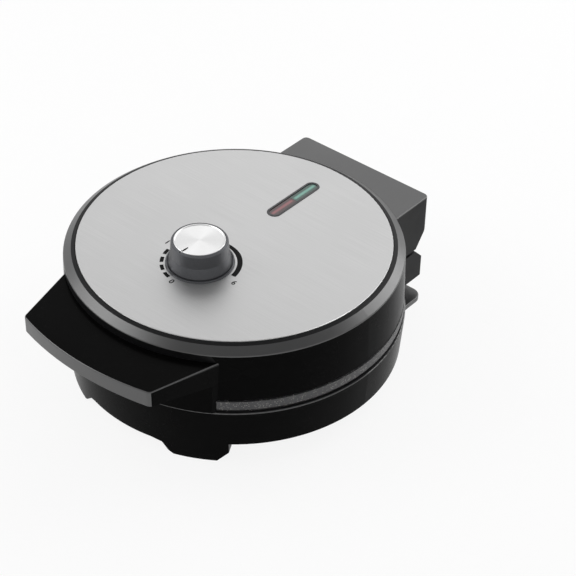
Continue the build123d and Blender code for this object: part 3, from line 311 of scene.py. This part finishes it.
def satin_pbt(finish):
    """Glass-filled PBT from a blasted mould: flat dark grey, with little gloss."""
    material, tree, shader = new_material("satin_pbt", {"IOR": 1.55, "Specular IOR Level": 0.14})
    point = object_point(tree)
    cloud = noise(tree, point, 20.0, 3.0)
    tree.links.new(mixed(tree, cloud, tuple(finish.housing), linear("#121213")),
                   shader.inputs["Base Color"])
    tree.links.new(between(tree, cloud, 0.45, 0.52), shader.inputs["Roughness"])
    # real grain is about 0.1 mm wide, and is drawn 0.8 mm wide so that it shows
    tree.links.new(bump(tree, noise(tree, point, 0.8, 4.0), 0.1, 0.04), shader.inputs["Normal"])
    return material


def shaded_pbt(finish):
    """Copy of the glass-filled PBT moulding for the walls, deep black with faint even reflections:
    painted shade, its colour darkened and its gloss nearly turned off.
    """
    material, tree, shader = new_material("shaded_pbt", {"IOR": 1.55, "Specular IOR Level": 0.02})
    point = object_point(tree)
    cloud = noise(tree, point, 30.0, 2.0)
    tree.links.new(mixed(tree, cloud, tuple(finish.housing_shaded), linear("#090909")),
                   shader.inputs["Base Color"])
    tree.links.new(between(tree, cloud, 0.22, 0.28), shader.inputs["Roughness"])
    # mould flow leaves long shallow waves, about 1.5 mm across
    tree.links.new(bump(tree, noise(tree, point, 1.5, 3.0), 0.04, 0.03), shader.inputs["Normal"])
    return material


def satin_stainless(finish):
    """Stainless steel sheet with a satin brushed face: scratches along X soften its reflections."""
    material, tree, shader = new_material("satin_stainless", {"Metallic": 1.0})
    point = object_point(tree)
    # real scratches are about 0.05 mm apart, and are drawn 0.5 mm apart so that they show
    scratch = noise(tree, point, 0.5, 2.0, (90.0, 1.0, 1.0))
    cloud = noise(tree, point, 60.0, 2.0)
    shade = mixed(tree, between(tree, scratch, 0.0, 1.0), tuple(finish.steel), linear("#C4C4C4"))
    tree.links.new(shade, shader.inputs["Base Color"])
    rough = sums(tree, "ADD", between(tree, scratch, 0.43, 0.46),
                 between(tree, cloud, 0.0, 0.02))
    tree.links.new(rough, shader.inputs["Roughness"])
    tree.links.new(bump(tree, scratch, 0.01, 0.02), shader.inputs["Normal"])
    return material


def spun_aluminium(finish):
    """Aluminium turned on a lathe: round tool marks stretch each highlight into a wedge."""
    material, tree, shader = new_material("spun_aluminium", {
        "Metallic": 1.0, "Roughness": 0.3, "Anisotropic": 0.75})
    point = object_point(tree)
    radius = from_axis(tree, point, KNOB_AT)
    # real tool marks are about 0.1 mm apart, and are drawn 0.6 mm apart so that they show
    rings = sums(tree, "SINE", sums(tree, "MULTIPLY", radius, 2 * math.pi / (0.6 * MM)))
    tree.links.new(bump(tree, rings, 0.05, 0.01), shader.inputs["Normal"])
    turned = add_node(tree, "ShaderNodeTangent", {"direction_type": "RADIAL", "axis": "Z"})
    tree.links.new(turned.outputs[0], shader.inputs["Tangent"])
    tree.links.new(mixed(tree, ranged(tree, rings, -1.0, 1.0, 0.0, 1.0), tuple(finish.aluminium),
                         linear("#DADADA")), shader.inputs["Base Color"])
    return material


def metallic_paint(finish):
    """Dark metallic paint on moulded ABS: fine flakes under a clear coat, smooth, half glossy."""
    material, tree, shader = new_material("metallic_paint", {
        "Metallic": 0.85, "Roughness": 0.4, "Coat Weight": 0.15, "Coat Roughness": 0.2})
    point = object_point(tree)
    # real flakes are about 0.03 mm wide, and are drawn 0.3 mm wide so that they show
    flakes = noise(tree, point, 0.3, 1.0)
    tree.links.new(mixed(tree, flakes, tuple(finish.knob), linear("#4A4B4E")),
                   shader.inputs["Base Color"])
    return material


def nonstick_casting(finish):
    """Die-cast aluminium under a sprayed non-stick coat: dark grey, uneven, with light specks."""
    material, tree, shader = new_material("nonstick_casting", {"IOR": 1.38})
    point = object_point(tree)
    # real specks are about 0.4 mm, and are drawn 0.9 mm wide so that they show
    specks = add_node(tree, "ShaderNodeTexVoronoi", {"feature": "F1"}, {"Scale": 1.0 / (1.1 * MM)},
                      {"Vector": point})
    some = ranged(tree, noise(tree, point, 2.6, 2.0), 0.42, 0.56, 0.0, 1.0)
    near = ranged(tree, specks.outputs["Distance"], 0.18, 0.42, 1.0, 0.0)
    speck = sums(tree, "MULTIPLY", near, some)
    cloud = noise(tree, point, 8.0, 3.0)
    base = mixed(tree, cloud, tuple(finish.coat), linear("#565657"))
    tree.links.new(mixed(tree, speck, base, tuple(finish.speck)), shader.inputs["Base Color"])
    tree.links.new(between(tree, cloud, 0.38, 0.5), shader.inputs["Roughness"])
    relief = sums(tree, "ADD", sums(tree, "MULTIPLY", speck, 0.6), noise(tree, point, 0.9, 3.0))
    tree.links.new(bump(tree, relief, 0.25, 0.08), shader.inputs["Normal"])
    return material


def tinted_lens(name, tint, highlight_colour, low, high):
    """Clear tinted acrylic with a lamp close behind: glossy, deep at its edge, with a painted
    highlight, a lighter streak along the middle."""
    material, tree, shader = new_material(name, {
        "IOR": 1.49, "Roughness": 0.12, "Coat Weight": 0.5, "Coat Roughness": 0.05})
    point = object_point(tree)
    split = add_node(tree, "ShaderNodeSeparateXYZ", links={"Vector": point})
    across = sums(tree, "ABSOLUTE", split.outputs["X"])
    middle = ranged(tree, across, 0.3 * MM, 1.8 * MM, 1.0, 0.0)
    centre = (low.y + high.y) / 2
    along = sums(tree, "ABSOLUTE", sums(tree, "SUBTRACT", split.outputs["Y"], centre))
    # painted highlight: a lighter streak along the lens's middle
    lamp = sums(tree, "MULTIPLY", middle, ranged(tree, along, 8.5 * MM, 11.5 * MM, 1.0, 0.0))
    ribs = noise(tree, point, 1.2, 1.0)
    dark = tuple(c * 0.7 for c in tint[:3]) + (1.0,)
    deep = mixed(tree, ribs, dark, tuple(tint))
    tree.links.new(mixed(tree, lamp, deep, tuple(highlight_colour)), shader.inputs["Base Color"])
    return material


def printed_ink(finish):
    """Screen-printed ink: flat black, with a slightly open edge and no gloss."""
    material, tree, shader = new_material("printed_ink", {"IOR": 1.5, "Specular IOR Level": 0.1})
    point = object_point(tree)
    dots = noise(tree, point, 0.4, 2.0)
    tree.links.new(mixed(tree, dots, tuple(finish.ink), linear("#0A0A0B")),
                   shader.inputs["Base Color"])
    tree.links.new(between(tree, dots, 0.5, 0.6), shader.inputs["Roughness"])
    return material


def soft_rubber():
    """Black silicone rubber: matt, dusty grey on its worn foot."""
    material, tree, shader = new_material("soft_rubber", {"IOR": 1.41, "Specular IOR Level": 0.35})
    point = object_point(tree)
    dust = noise(tree, point, 2.0, 4.0)
    tree.links.new(mixed(tree, dust, linear("#1A1A1A"), linear("#2E2D2C")),
                   shader.inputs["Base Color"])
    tree.links.new(between(tree, dust, 0.7, 0.85), shader.inputs["Roughness"])
    tree.links.new(bump(tree, dust, 0.2, 0.05), shader.inputs["Normal"])
    return material


def plain_metal(name, light_hex, dark_hex, rough, grain_mm, depth_mm=0.02):
    """Bare or plated metal sheet, rod or turned part, with its slight unevenness."""
    material, tree, shader = new_material(name, {"Metallic": 1.0})
    point = object_point(tree)
    grain = noise(tree, point, grain_mm, 3.0)
    tree.links.new(mixed(tree, grain, linear(light_hex), linear(dark_hex)),
                   shader.inputs["Base Color"])
    tree.links.new(between(tree, grain, rough, rough + 0.1), shader.inputs["Roughness"])
    tree.links.new(bump(tree, grain, 0.1, depth_mm), shader.inputs["Normal"])
    return material


def plain_insulator(name, light_hex, dark_hex, rough, grain_mm, ior):
    """Ceramic, natural nylon or glass-fibre sleeve, with its slight unevenness."""
    material, tree, shader = new_material(name, {"IOR": ior})
    point = object_point(tree)
    grain = noise(tree, point, grain_mm, 4.0)
    tree.links.new(mixed(tree, grain, linear(light_hex), linear(dark_hex)),
                   shader.inputs["Base Color"])
    tree.links.new(between(tree, grain, rough, min(rough + 0.1, 1.0)), shader.inputs["Roughness"])
    tree.links.new(bump(tree, grain, 0.2, 0.05), shader.inputs["Normal"])
    return material


def lamp_glass():
    """Thin soda-lime glass of the indicator lamps, faintly clouded."""
    material, tree, shader = new_material("lamp_glass", {
        "IOR": 1.52, "Transmission Weight": 0.85, "Base Color": linear("#F0EFEA")})
    cloud = noise(tree, object_point(tree), 3.0, 2.0)
    tree.links.new(between(tree, cloud, 0.05, 0.15), shader.inputs["Roughness"])
    return material


# Pieces
def dress(material, *names):
    """Give CAD nodes one material."""
    for name in names:
        slots = NODES[name].data.materials
        slots.clear()
        slots.append(material)


def zoned_shell(name, node, body, finishes):
    """Skin in place of a CAD node, made from its faces. Each of finishes is a material and a test
    of a face's distance from the round body's axis, its middle and its normal. A face takes the
    first material whose test fits."""
    mesh = NODES[node].data.copy()
    mesh.name = name
    mesh.materials.clear()
    for material, _ in finishes:
        mesh.materials.append(material)
    for face in mesh.polygons:
        middle = face.center
        radius = math.hypot(middle.x - DISC_AT.x, middle.y - DISC_AT.y)
        face.material_index = next(i for i, (_, fits) in enumerate(finishes)
                                   if fits(radius / MM, middle / MM, face.normal))
    shell = bpy.data.objects.new(name, mesh)
    bpy.context.scene.collection.objects.link(shell)
    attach(shell, body)
    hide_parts(node)


def new_piece(name, bm, material, body):
    """Object from a bmesh, riding on a body."""
    mesh = bpy.data.meshes.new(name)
    bmesh.ops.recalc_face_normals(bm, faces=bm.faces)
    bm.to_mesh(mesh)
    bm.free()
    mesh.materials.append(material)
    piece = bpy.data.objects.new(name, mesh)
    bpy.context.scene.collection.objects.link(piece)
    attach(piece, body)


def add_band(bm, centre, z0, z1, start, end, steps, radii):
    """Closed flat band round a centre. radii gives its two radii at a share of its length."""
    rings = []
    for i in range(steps + 1):
        share = i / steps
        angle = start + (end - start) * share
        inner, outer = radii(share)
        way = Vector((math.cos(angle), math.sin(angle), 0.0))
        corners = [(inner, z0), (outer, z0), (outer, z1), (inner, z1)]
        rings.append([bm.verts.new((centre.x + way.x * r, centre.y + way.y * r, z))
                      for r, z in corners])
    for first, second in zip(rings, rings[1:]):
        for i in range(4):
            bm.faces.new((first[i], first[(i + 1) % 4], second[(i + 1) % 4], second[i]))
    bm.faces.new(rings[0][::-1])
    bm.faces.new(rings[-1])


def add_bar(bm, x, y0, y1, width, z0, z1):
    """Flat bar along Y with a rounded inner end."""
    half = width / 2
    outline = [(x - half, y0), (x + half, y0)]
    turns = [math.pi * i / ROUND_STEPS for i in range(ROUND_STEPS + 1)]
    outline += [(x + half * math.cos(turn), y1 - half + half * math.sin(turn)) for turn in turns]
    lower = [bm.verts.new((px, py, z0)) for px, py in outline]
    upper = [bm.verts.new((px, py, z1)) for px, py in outline]
    bm.faces.new(lower[::-1])
    bm.faces.new(upper)
    for i, corner in enumerate(lower):
        other = (i + 1) % len(lower)
        bm.faces.new((corner, lower[other], upper[other], upper[i]))


def add_digit(bm, text, height, x, y, z, thickness):
    """Number printed flat at a place, read from the handle's side."""
    curve = bpy.data.curves.new("digit", "FONT")
    curve.body = text
    curve.align_x = "CENTER"
    curve.align_y = "CENTER"
    curve.size = height / CAPITAL_HEIGHT
    curve.extrude = thickness / 2
    curve.offset = height * BOLDNESS
    carrier = bpy.data.objects.new("digit", curve)
    bpy.context.scene.collection.objects.link(carrier)
    bpy.context.view_layer.update()
    mesh = bpy.data.meshes.new_from_object(carrier)
    mesh.transform(Matrix.Translation((x, y, z + thickness / 2)))
    bm.from_mesh(mesh)
    bpy.data.objects.remove(carrier)
    bpy.data.curves.remove(curve)
    bpy.data.meshes.remove(mesh)


def printed_scale(scale, finish):
    """Arc, dashes and numbers round the knob, and the pointer on its cap."""
    low = DISC_TOP + INK_LIFT
    high = low + scale.ink_height
    bm = bmesh.new()

    def arc(share):
        growth = min(1.0, share * ARC_GROWTH)
        width = scale.arc_thin + (scale.arc_thick - scale.arc_thin) * growth
        return scale.radius, scale.radius + width

    def dash(share):
        return scale.dash_radius - scale.dash_width / 2, scale.dash_radius + scale.dash_width / 2

    add_band(bm, KNOB_AT, low, high, math.radians(ARC_START), math.radians(ARC_END), ARC_STEPS, arc)
    half = scale.dash_length / scale.dash_radius / 2
    for degrees in DASHES:
        middle = math.radians(degrees)
        add_band(bm, KNOB_AT, low, high, middle - half, middle + half, DASH_STEPS, dash)
    digits = (scale.off_digit, scale.low_digit, scale.high_digit)
    for text, (degrees, radius) in zip(digits, (OFF_AT, LOW_AT, HIGH_AT)):
        angle = math.radians(degrees)
        add_digit(bm, text, scale.digit_height, KNOB_AT.x + math.cos(angle) * radius * MM,
                  KNOB_AT.y + math.sin(angle) * radius * MM, low, scale.ink_height)
    ink = printed_ink(finish)
    new_piece("printed_scale", bm, ink, "lid")
    # the pointer lies in the cap's shallow dish
    base = KNOB_HIGH.z - POINTER_DROP
    start = KNOB_LOW.y + POINTER_INSET
    bm = bmesh.new()
    add_bar(bm, KNOB_AT.x, start, start + scale.pointer_length, scale.pointer_width, base,
            base + scale.ink_height)
    new_piece("knob_pointer", bm, ink, "knob")


# Stage
def place_camera(view):
    """Camera of the photograph."""
    a, e, roll = view.azimuth, view.elevation, view.roll
    back = Vector((math.sin(a) * math.cos(e), -math.cos(a) * math.cos(e), math.sin(e)))
    right = Vector((math.cos(a), math.sin(a), 0.0))
    up = back.cross(right)
    side = right * math.cos(roll) + up * math.sin(roll)
    top = up * math.cos(roll) - right * math.sin(roll)
    data = bpy.data.cameras.new("camera")
    data.lens = view.lens
    data.sensor_width = SENSOR_WIDTH
    data.clip_start, data.clip_end = CLIP
    camera = bpy.data.objects.new("camera", data)
    camera.matrix_world = Matrix.Translation(Vector(view.target) + back * view.distance) @ Matrix(
        (side, top, back)).transposed().to_4x4()
    bpy.context.scene.collection.objects.link(camera)
    bpy.context.scene.camera = camera


def seen_directly(tree):
    """1 on rays from the camera, glass or a mirror, and 0 on light that falls on the object."""
    path = add_node(tree, "ShaderNodeLightPath")
    first = sums(tree, "MAXIMUM", path.outputs["Is Camera Ray"], path.outputs["Is Glossy Ray"])
    return sums(tree, "MAXIMUM", first, path.outputs["Is Transmission Ray"])


def make_world(studio):
    """Even light from above."""
    world = bpy.data.worlds.new("studio")
    world.use_nodes = True
    tree = world.node_tree
    tree.nodes.clear()
    shade = add_node(tree, "ShaderNodeBackground",
                     inputs={"Color": WHITE, "Strength": studio.world_strength})
    add_node(tree, "ShaderNodeOutputWorld", links={"Surface": shade.outputs[0]})
    bpy.context.scene.world = world


def make_floor(studio):
    """Plain pale floor that sweeps up into a round backdrop. It keeps a soft part of the shadow."""
    flat_radius = studio.floor_radius - FLOOR_SWEEP
    profile = [(radius, 0.0) for radius in FLOOR_FLATS + (flat_radius,)]
    for i in range(1, SWEEP_STEPS + 1):
        angle = math.pi / 2 * i / SWEEP_STEPS
        profile.append((flat_radius + FLOOR_SWEEP * math.sin(angle),
                        FLOOR_SWEEP - FLOOR_SWEEP * math.cos(angle)))
    profile.append((studio.floor_radius, studio.floor_rise))
    bm = bmesh.new()
    verts = [bm.verts.new((r, 0.0, z)) for r, z in profile]
    edges = [bm.edges.new(pair) for pair in zip(verts, verts[1:])]
    bmesh.ops.spin(bm, geom=verts + edges, cent=(0.0, 0.0, 0.0), axis=(0.0, 0.0, 1.0),
                   angle=2 * math.pi, steps=FLOOR_STEPS)
    bmesh.ops.remove_doubles(bm, verts=bm.verts, dist=1e-5)
    for face in bm.faces:
        face.smooth = True
    mesh = bpy.data.meshes.new("floor")
    bm.to_mesh(mesh)
    bm.free()
    floor = bpy.data.objects.new("floor", mesh)
    bpy.context.scene.collection.objects.link(floor)
    material = bpy.data.materials.new("floor_paper")
    material.use_nodes = True
    tree = material.node_tree
    tree.nodes.clear()
    paper = add_node(tree, "ShaderNodeBsdfDiffuse", inputs={"Color": tuple(studio.floor_colour)})
    white = add_node(tree, "ShaderNodeEmission", inputs={"Color": WHITE, "Strength": 1.0})
    share = sums(tree, "MULTIPLY", seen_directly(tree), FLOOR_SHARE)
    mix = add_node(tree, "ShaderNodeMixShader",
                   links={0: share, 1: paper.outputs[0], 2: white.outputs[0]})
    add_node(tree, "ShaderNodeOutputMaterial", links={"Surface": mix.outputs[0]})
    mesh.materials.append(material)


def add_softbox(name, size, watts, place, aim_z):
    """Rectangular softbox that points at a height on the object's middle."""
    data = bpy.data.lights.new(name, "AREA")
    data.shape = "RECTANGLE"
    data.size, data.size_y = size
    data.energy = watts
    lamp = bpy.data.objects.new(name, data)
    way = Vector(place) - Vector((0.0, 0.0, aim_z))
    lamp.matrix_world = Matrix.Translation(place) @ way.to_track_quat("Z", "Y").to_matrix().to_4x4()
    bpy.context.scene.collection.objects.link(lamp)


# Operators
class WAFFLE_OT_stage(bpy.types.Operator):
    """Set up the camera, the floor, the world and the softboxes"""

    bl_idname = "waffle.stage"
    bl_label = "Stage"

    def execute(self, context):
        place_camera(context.scene.waffle_view)
        studio = context.scene.waffle_studio
        make_world(studio)
        make_floor(studio)
        add_softbox("left_softbox", (0.95, 0.6), studio.left_power, (-0.76, -0.54, 0.82), 0.06)
        add_softbox("rear_softbox", (0.9, 0.9), studio.rear_power, (0.42, 1.1, 0.75), 0.08)
        add_softbox("far_softbox", (1.1, 0.9), studio.far_power, (-0.75, 0.95, 0.95), 0.09)
        context.scene.view_settings.view_transform = "Standard"
        return {"FINISHED"}


class WAFFLE_OT_housings(bpy.types.Operator):
    """Dress the moulded housings, covers and rear foot"""

    bl_idname = "waffle.housings"
    bl_label = "Housings"

    def execute(self, context):
        finish = context.scene.waffle_finish
        highlit_copy, satin, shaded_copy = highlit_pbt(finish), satin_pbt(finish), shaded_pbt(finish)

        def on_block(radius, at, normal):
            """Outside of a hinge block, which stands out of the round wall behind."""
            near = at.y > BLOCK_Y and abs(at.x) < BLOCK_HALF
            return near and (radius > BLOCK_R or abs(normal.x) > SQUARE)

        def lid_highlit(radius, at, normal):
            """Rim, top of the hinge block, front of the handle and the handle's rounded edges,
            which take the painted highlight.
            """
            rim = at.z > RIM_Z and RIM_INNER_R < radius < RIM_OUTER_R
            block_top = on_block(radius, at, normal) and at.z > BLOCK_TOP_Z
            handle_front = at.y < HANDLE_FRONT_Y and normal.y < -LEANING
            rounded = EDGE_LOW < normal.z < EDGE_HIGH
            handle_edge = at.y < HANDLE_EDGE_Y and at.z > HANDLE_EDGE_Z and rounded
            return rim or block_top or handle_front or handle_edge

        def lid_satin(radius, at, normal):
            """Sides of the hinge block, and the wall just above the handle."""
            above_handle = at.y < WALL_Y and at.z > WALL_Z and abs(at.x) < WALL_HALF
            return on_block(radius, at, normal) or (above_handle and normal.z < LEANING)

        def disc_seat(radius, at, normal):
            """Flat ring round the disc."""
            return at.z > SEAT_Z and radius < SEAT_R

        def base_lip(radius, at, normal):
            """Rounded upper edge of the base, which takes a painted highlight line."""
            return at.z > LIP_Z and radius > LIP_R and normal.z > EDGE_LOW

        def anywhere(radius, at, normal):
            """Every face that is left."""
            return True

        # painted light: the highlight zones take the lighter, glossier copy, and every face that is
        # left the near-black shade copy
        zoned_shell("upper_housing_skin", "upper_housing", "lid",
                    [(satin, disc_seat), (highlit_copy, lid_highlit), (satin, lid_satin),
                     (shaded_copy, anywhere)])
        # painted light: the base's upper edge takes the highlight copy as a highlight line, and the
        # rest of the wall the near-black shade copy
        zoned_shell("lower_housing_skin", "lower_housing", "base",
                    [(highlit_copy, base_lip), (satin, on_block), (shaded_copy, anywhere)])
        dress(highlit_copy, "rear_foot")
        dress(satin, "bottom_cover", "lid_hinge_cover", "handle_cover", "cord_clamp")
        return {"FINISHED"}


class WAFFLE_OT_top_disc(bpy.types.Operator):
    """Dress the steel disc on top of the lid"""

    bl_idname = "waffle.top_disc"
    bl_label = "Top disc"

    def execute(self, context):
        dress(satin_stainless(context.scene.waffle_finish), "top_disc")
        return {"FINISHED"}


class WAFFLE_OT_knob(bpy.types.Operator):
    """Dress the knob, its cap, its spindle and the ring round its foot"""

    bl_idname = "waffle.knob"
    bl_label = "Knob"

    def execute(self, context):
        finish = context.scene.waffle_finish
        dress(metallic_paint(finish), "knob_body", "dial_bezel")
        dress(spun_aluminium(finish), "knob_cap")
        dress(plain_metal("turned_brass", "#C9A862", "#A98742", 0.3, 1.0), "thermostat_spindle")
        return {"FINISHED"}


class WAFFLE_OT_scale(bpy.types.Operator):
    """Print the scale round the knob"""

    bl_idname = "waffle.scale"
    bl_label = "Printed scale"

    def execute(self, context):
        printed_scale(context.scene.waffle_scale, context.scene.waffle_finish)
        return {"FINISHED"}


class WAFFLE_OT_window(bpy.types.Operator):
    """Dress the indicator window, its lenses and the lamps below"""

    bl_idname = "waffle.window"
    bl_label = "Indicator window"

    def execute(self, context):
        finish = context.scene.waffle_finish
        dress(plain_insulator("moulded_abs", "#2E2E30", "#232325", 0.3, 1.5, 1.54), "window_bezel")
        dress(tinted_lens("red_acrylic", finish.lens_red, finish.red_highlight, LENS_RED_LOW,
                          LENS_RED_HIGH), "lens_red")
        dress(tinted_lens("green_acrylic", finish.lens_green, finish.green_highlight, LENS_GREEN_LOW,
                          LENS_GREEN_HIGH), "lens_green")
        dress(lamp_glass(), "indicator_lamps")
        return {"FINISHED"}


class WAFFLE_OT_plates(bpy.types.Operator):
    """Dress the two cooking plates"""

    bl_idname = "waffle.plates"
    bl_label = "Cooking plates"

    def execute(self, context):
        casting = nonstick_casting(context.scene.waffle_finish)
        dress(casting, "upper_cooking_plate", "lower_cooking_plate")
        return {"FINISHED"}


class WAFFLE_OT_fittings(bpy.types.Operator):
    """Dress the screws, pins, heating elements, reflectors, leads and pads"""

    bl_idname = "waffle.fittings"
    bl_label = "Fittings"

    def execute(self, context):
        # zinc plate: bluish white, finely crystalline
        zinc = plain_metal("zinc_plated_steel", "#C3C5C8", "#A2A4A8", 0.3, 0.6)
        dress(zinc, "upper_plate_screws", "lower_plate_screws", "lid_hinge_cover_screws",
              "handle_cover_screws", "upper_reflector_screws", "lower_reflector_screws",
              "bottom_cover_screws", "rear_foot_screws", "cord_clamp_screws", "thermostat_screws",
              "thermostat_bracket", "fuse_clip")
        # ground steel: bright and smooth
        dress(plain_metal("ground_steel", "#CDCDCD", "#B5B5B5", 0.2, 0.8), "hinge_pins")
        # oxidised nickel alloy: olive brown from the furnace
        dress(plain_metal("oxidised_alloy", "#6B6558", "#4A463D", 0.45, 1.5), "upper_element",
              "lower_element")
        # mill-finish aluminium sheet: bright, with faint rolling marks
        dress(plain_metal("mill_aluminium", "#DCDCDC", "#C4C4C6", 0.25, 2.0), "upper_reflector",
              "lower_reflector")
        # steatite ceramic: warm white, dense and dull
        dress(plain_insulator("steatite_ceramic", "#D9D3C5", "#C7C0B0", 0.6, 1.0, 1.6),
              "thermostat")
        # natural nylon: milky ivory, smooth
        dress(plain_insulator("natural_nylon", "#DCD6C4", "#CFC8B4", 0.4, 3.0, 1.53), "lamp_holder",
              "terminal_block")
        # woven glass sleeve: off-white, dull, with a fine braid
        dress(plain_insulator("glass_sleeve", "#D8D6CC", "#B3B0A4", 0.8, 0.5, 1.5), "lid_wires",
              "base_wires", "thermal_fuse")
        dress(soft_rubber(), "foot_pads", "cord_gland")
        return {"FINISHED"}


class WAFFLE_PT_panel(bpy.types.Panel):
    """Lists the sizes, the colours and the pieces"""

    bl_idname = "WAFFLE_PT_panel"
    bl_label = "Waffle maker"
    bl_space_type = "VIEW_3D"
    bl_region_type = "UI"
    bl_category = "Waffle maker"

    def draw(self, context):
        layout = self.layout
        for group in (context.scene.waffle_view, context.scene.waffle_studio,
                      context.scene.waffle_finish, context.scene.waffle_scale):
            box = layout.box()
            for name in type(group).__annotations__:
                box.prop(group, name)
        for operator in OPERATORS:
            layout.operator(operator.bl_idname)


GROUPS = {"waffle_view": WaffleView, "waffle_studio": WaffleStudio, "waffle_finish": WaffleFinish,
          "waffle_scale": WaffleScale}
OPERATORS = (WAFFLE_OT_stage, WAFFLE_OT_housings, WAFFLE_OT_top_disc, WAFFLE_OT_knob,
             WAFFLE_OT_scale, WAFFLE_OT_window, WAFFLE_OT_plates, WAFFLE_OT_fittings)


def register():
    """Register the settings, the operators and the panel."""
    for name, group in GROUPS.items():
        bpy.utils.register_class(group)
        setattr(bpy.types.Scene, name, PointerProperty(type=group))
    for operator in OPERATORS:
        bpy.utils.register_class(operator)
    bpy.utils.register_class(WAFFLE_PT_panel)


def unregister():
    """Take back what register made."""
    bpy.utils.unregister_class(WAFFLE_PT_panel)
    for operator in reversed(OPERATORS):
        bpy.utils.unregister_class(operator)
    for name, group in reversed(list(GROUPS.items())):
        delattr(bpy.types.Scene, name)
        bpy.utils.unregister_class(group)


def main():
    """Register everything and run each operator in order."""
    register()
    for operator in OPERATORS:
        name = operator.bl_idname.split(".")[1]
        getattr(bpy.ops.waffle, name)()


if __name__ == "__main__":
    main()
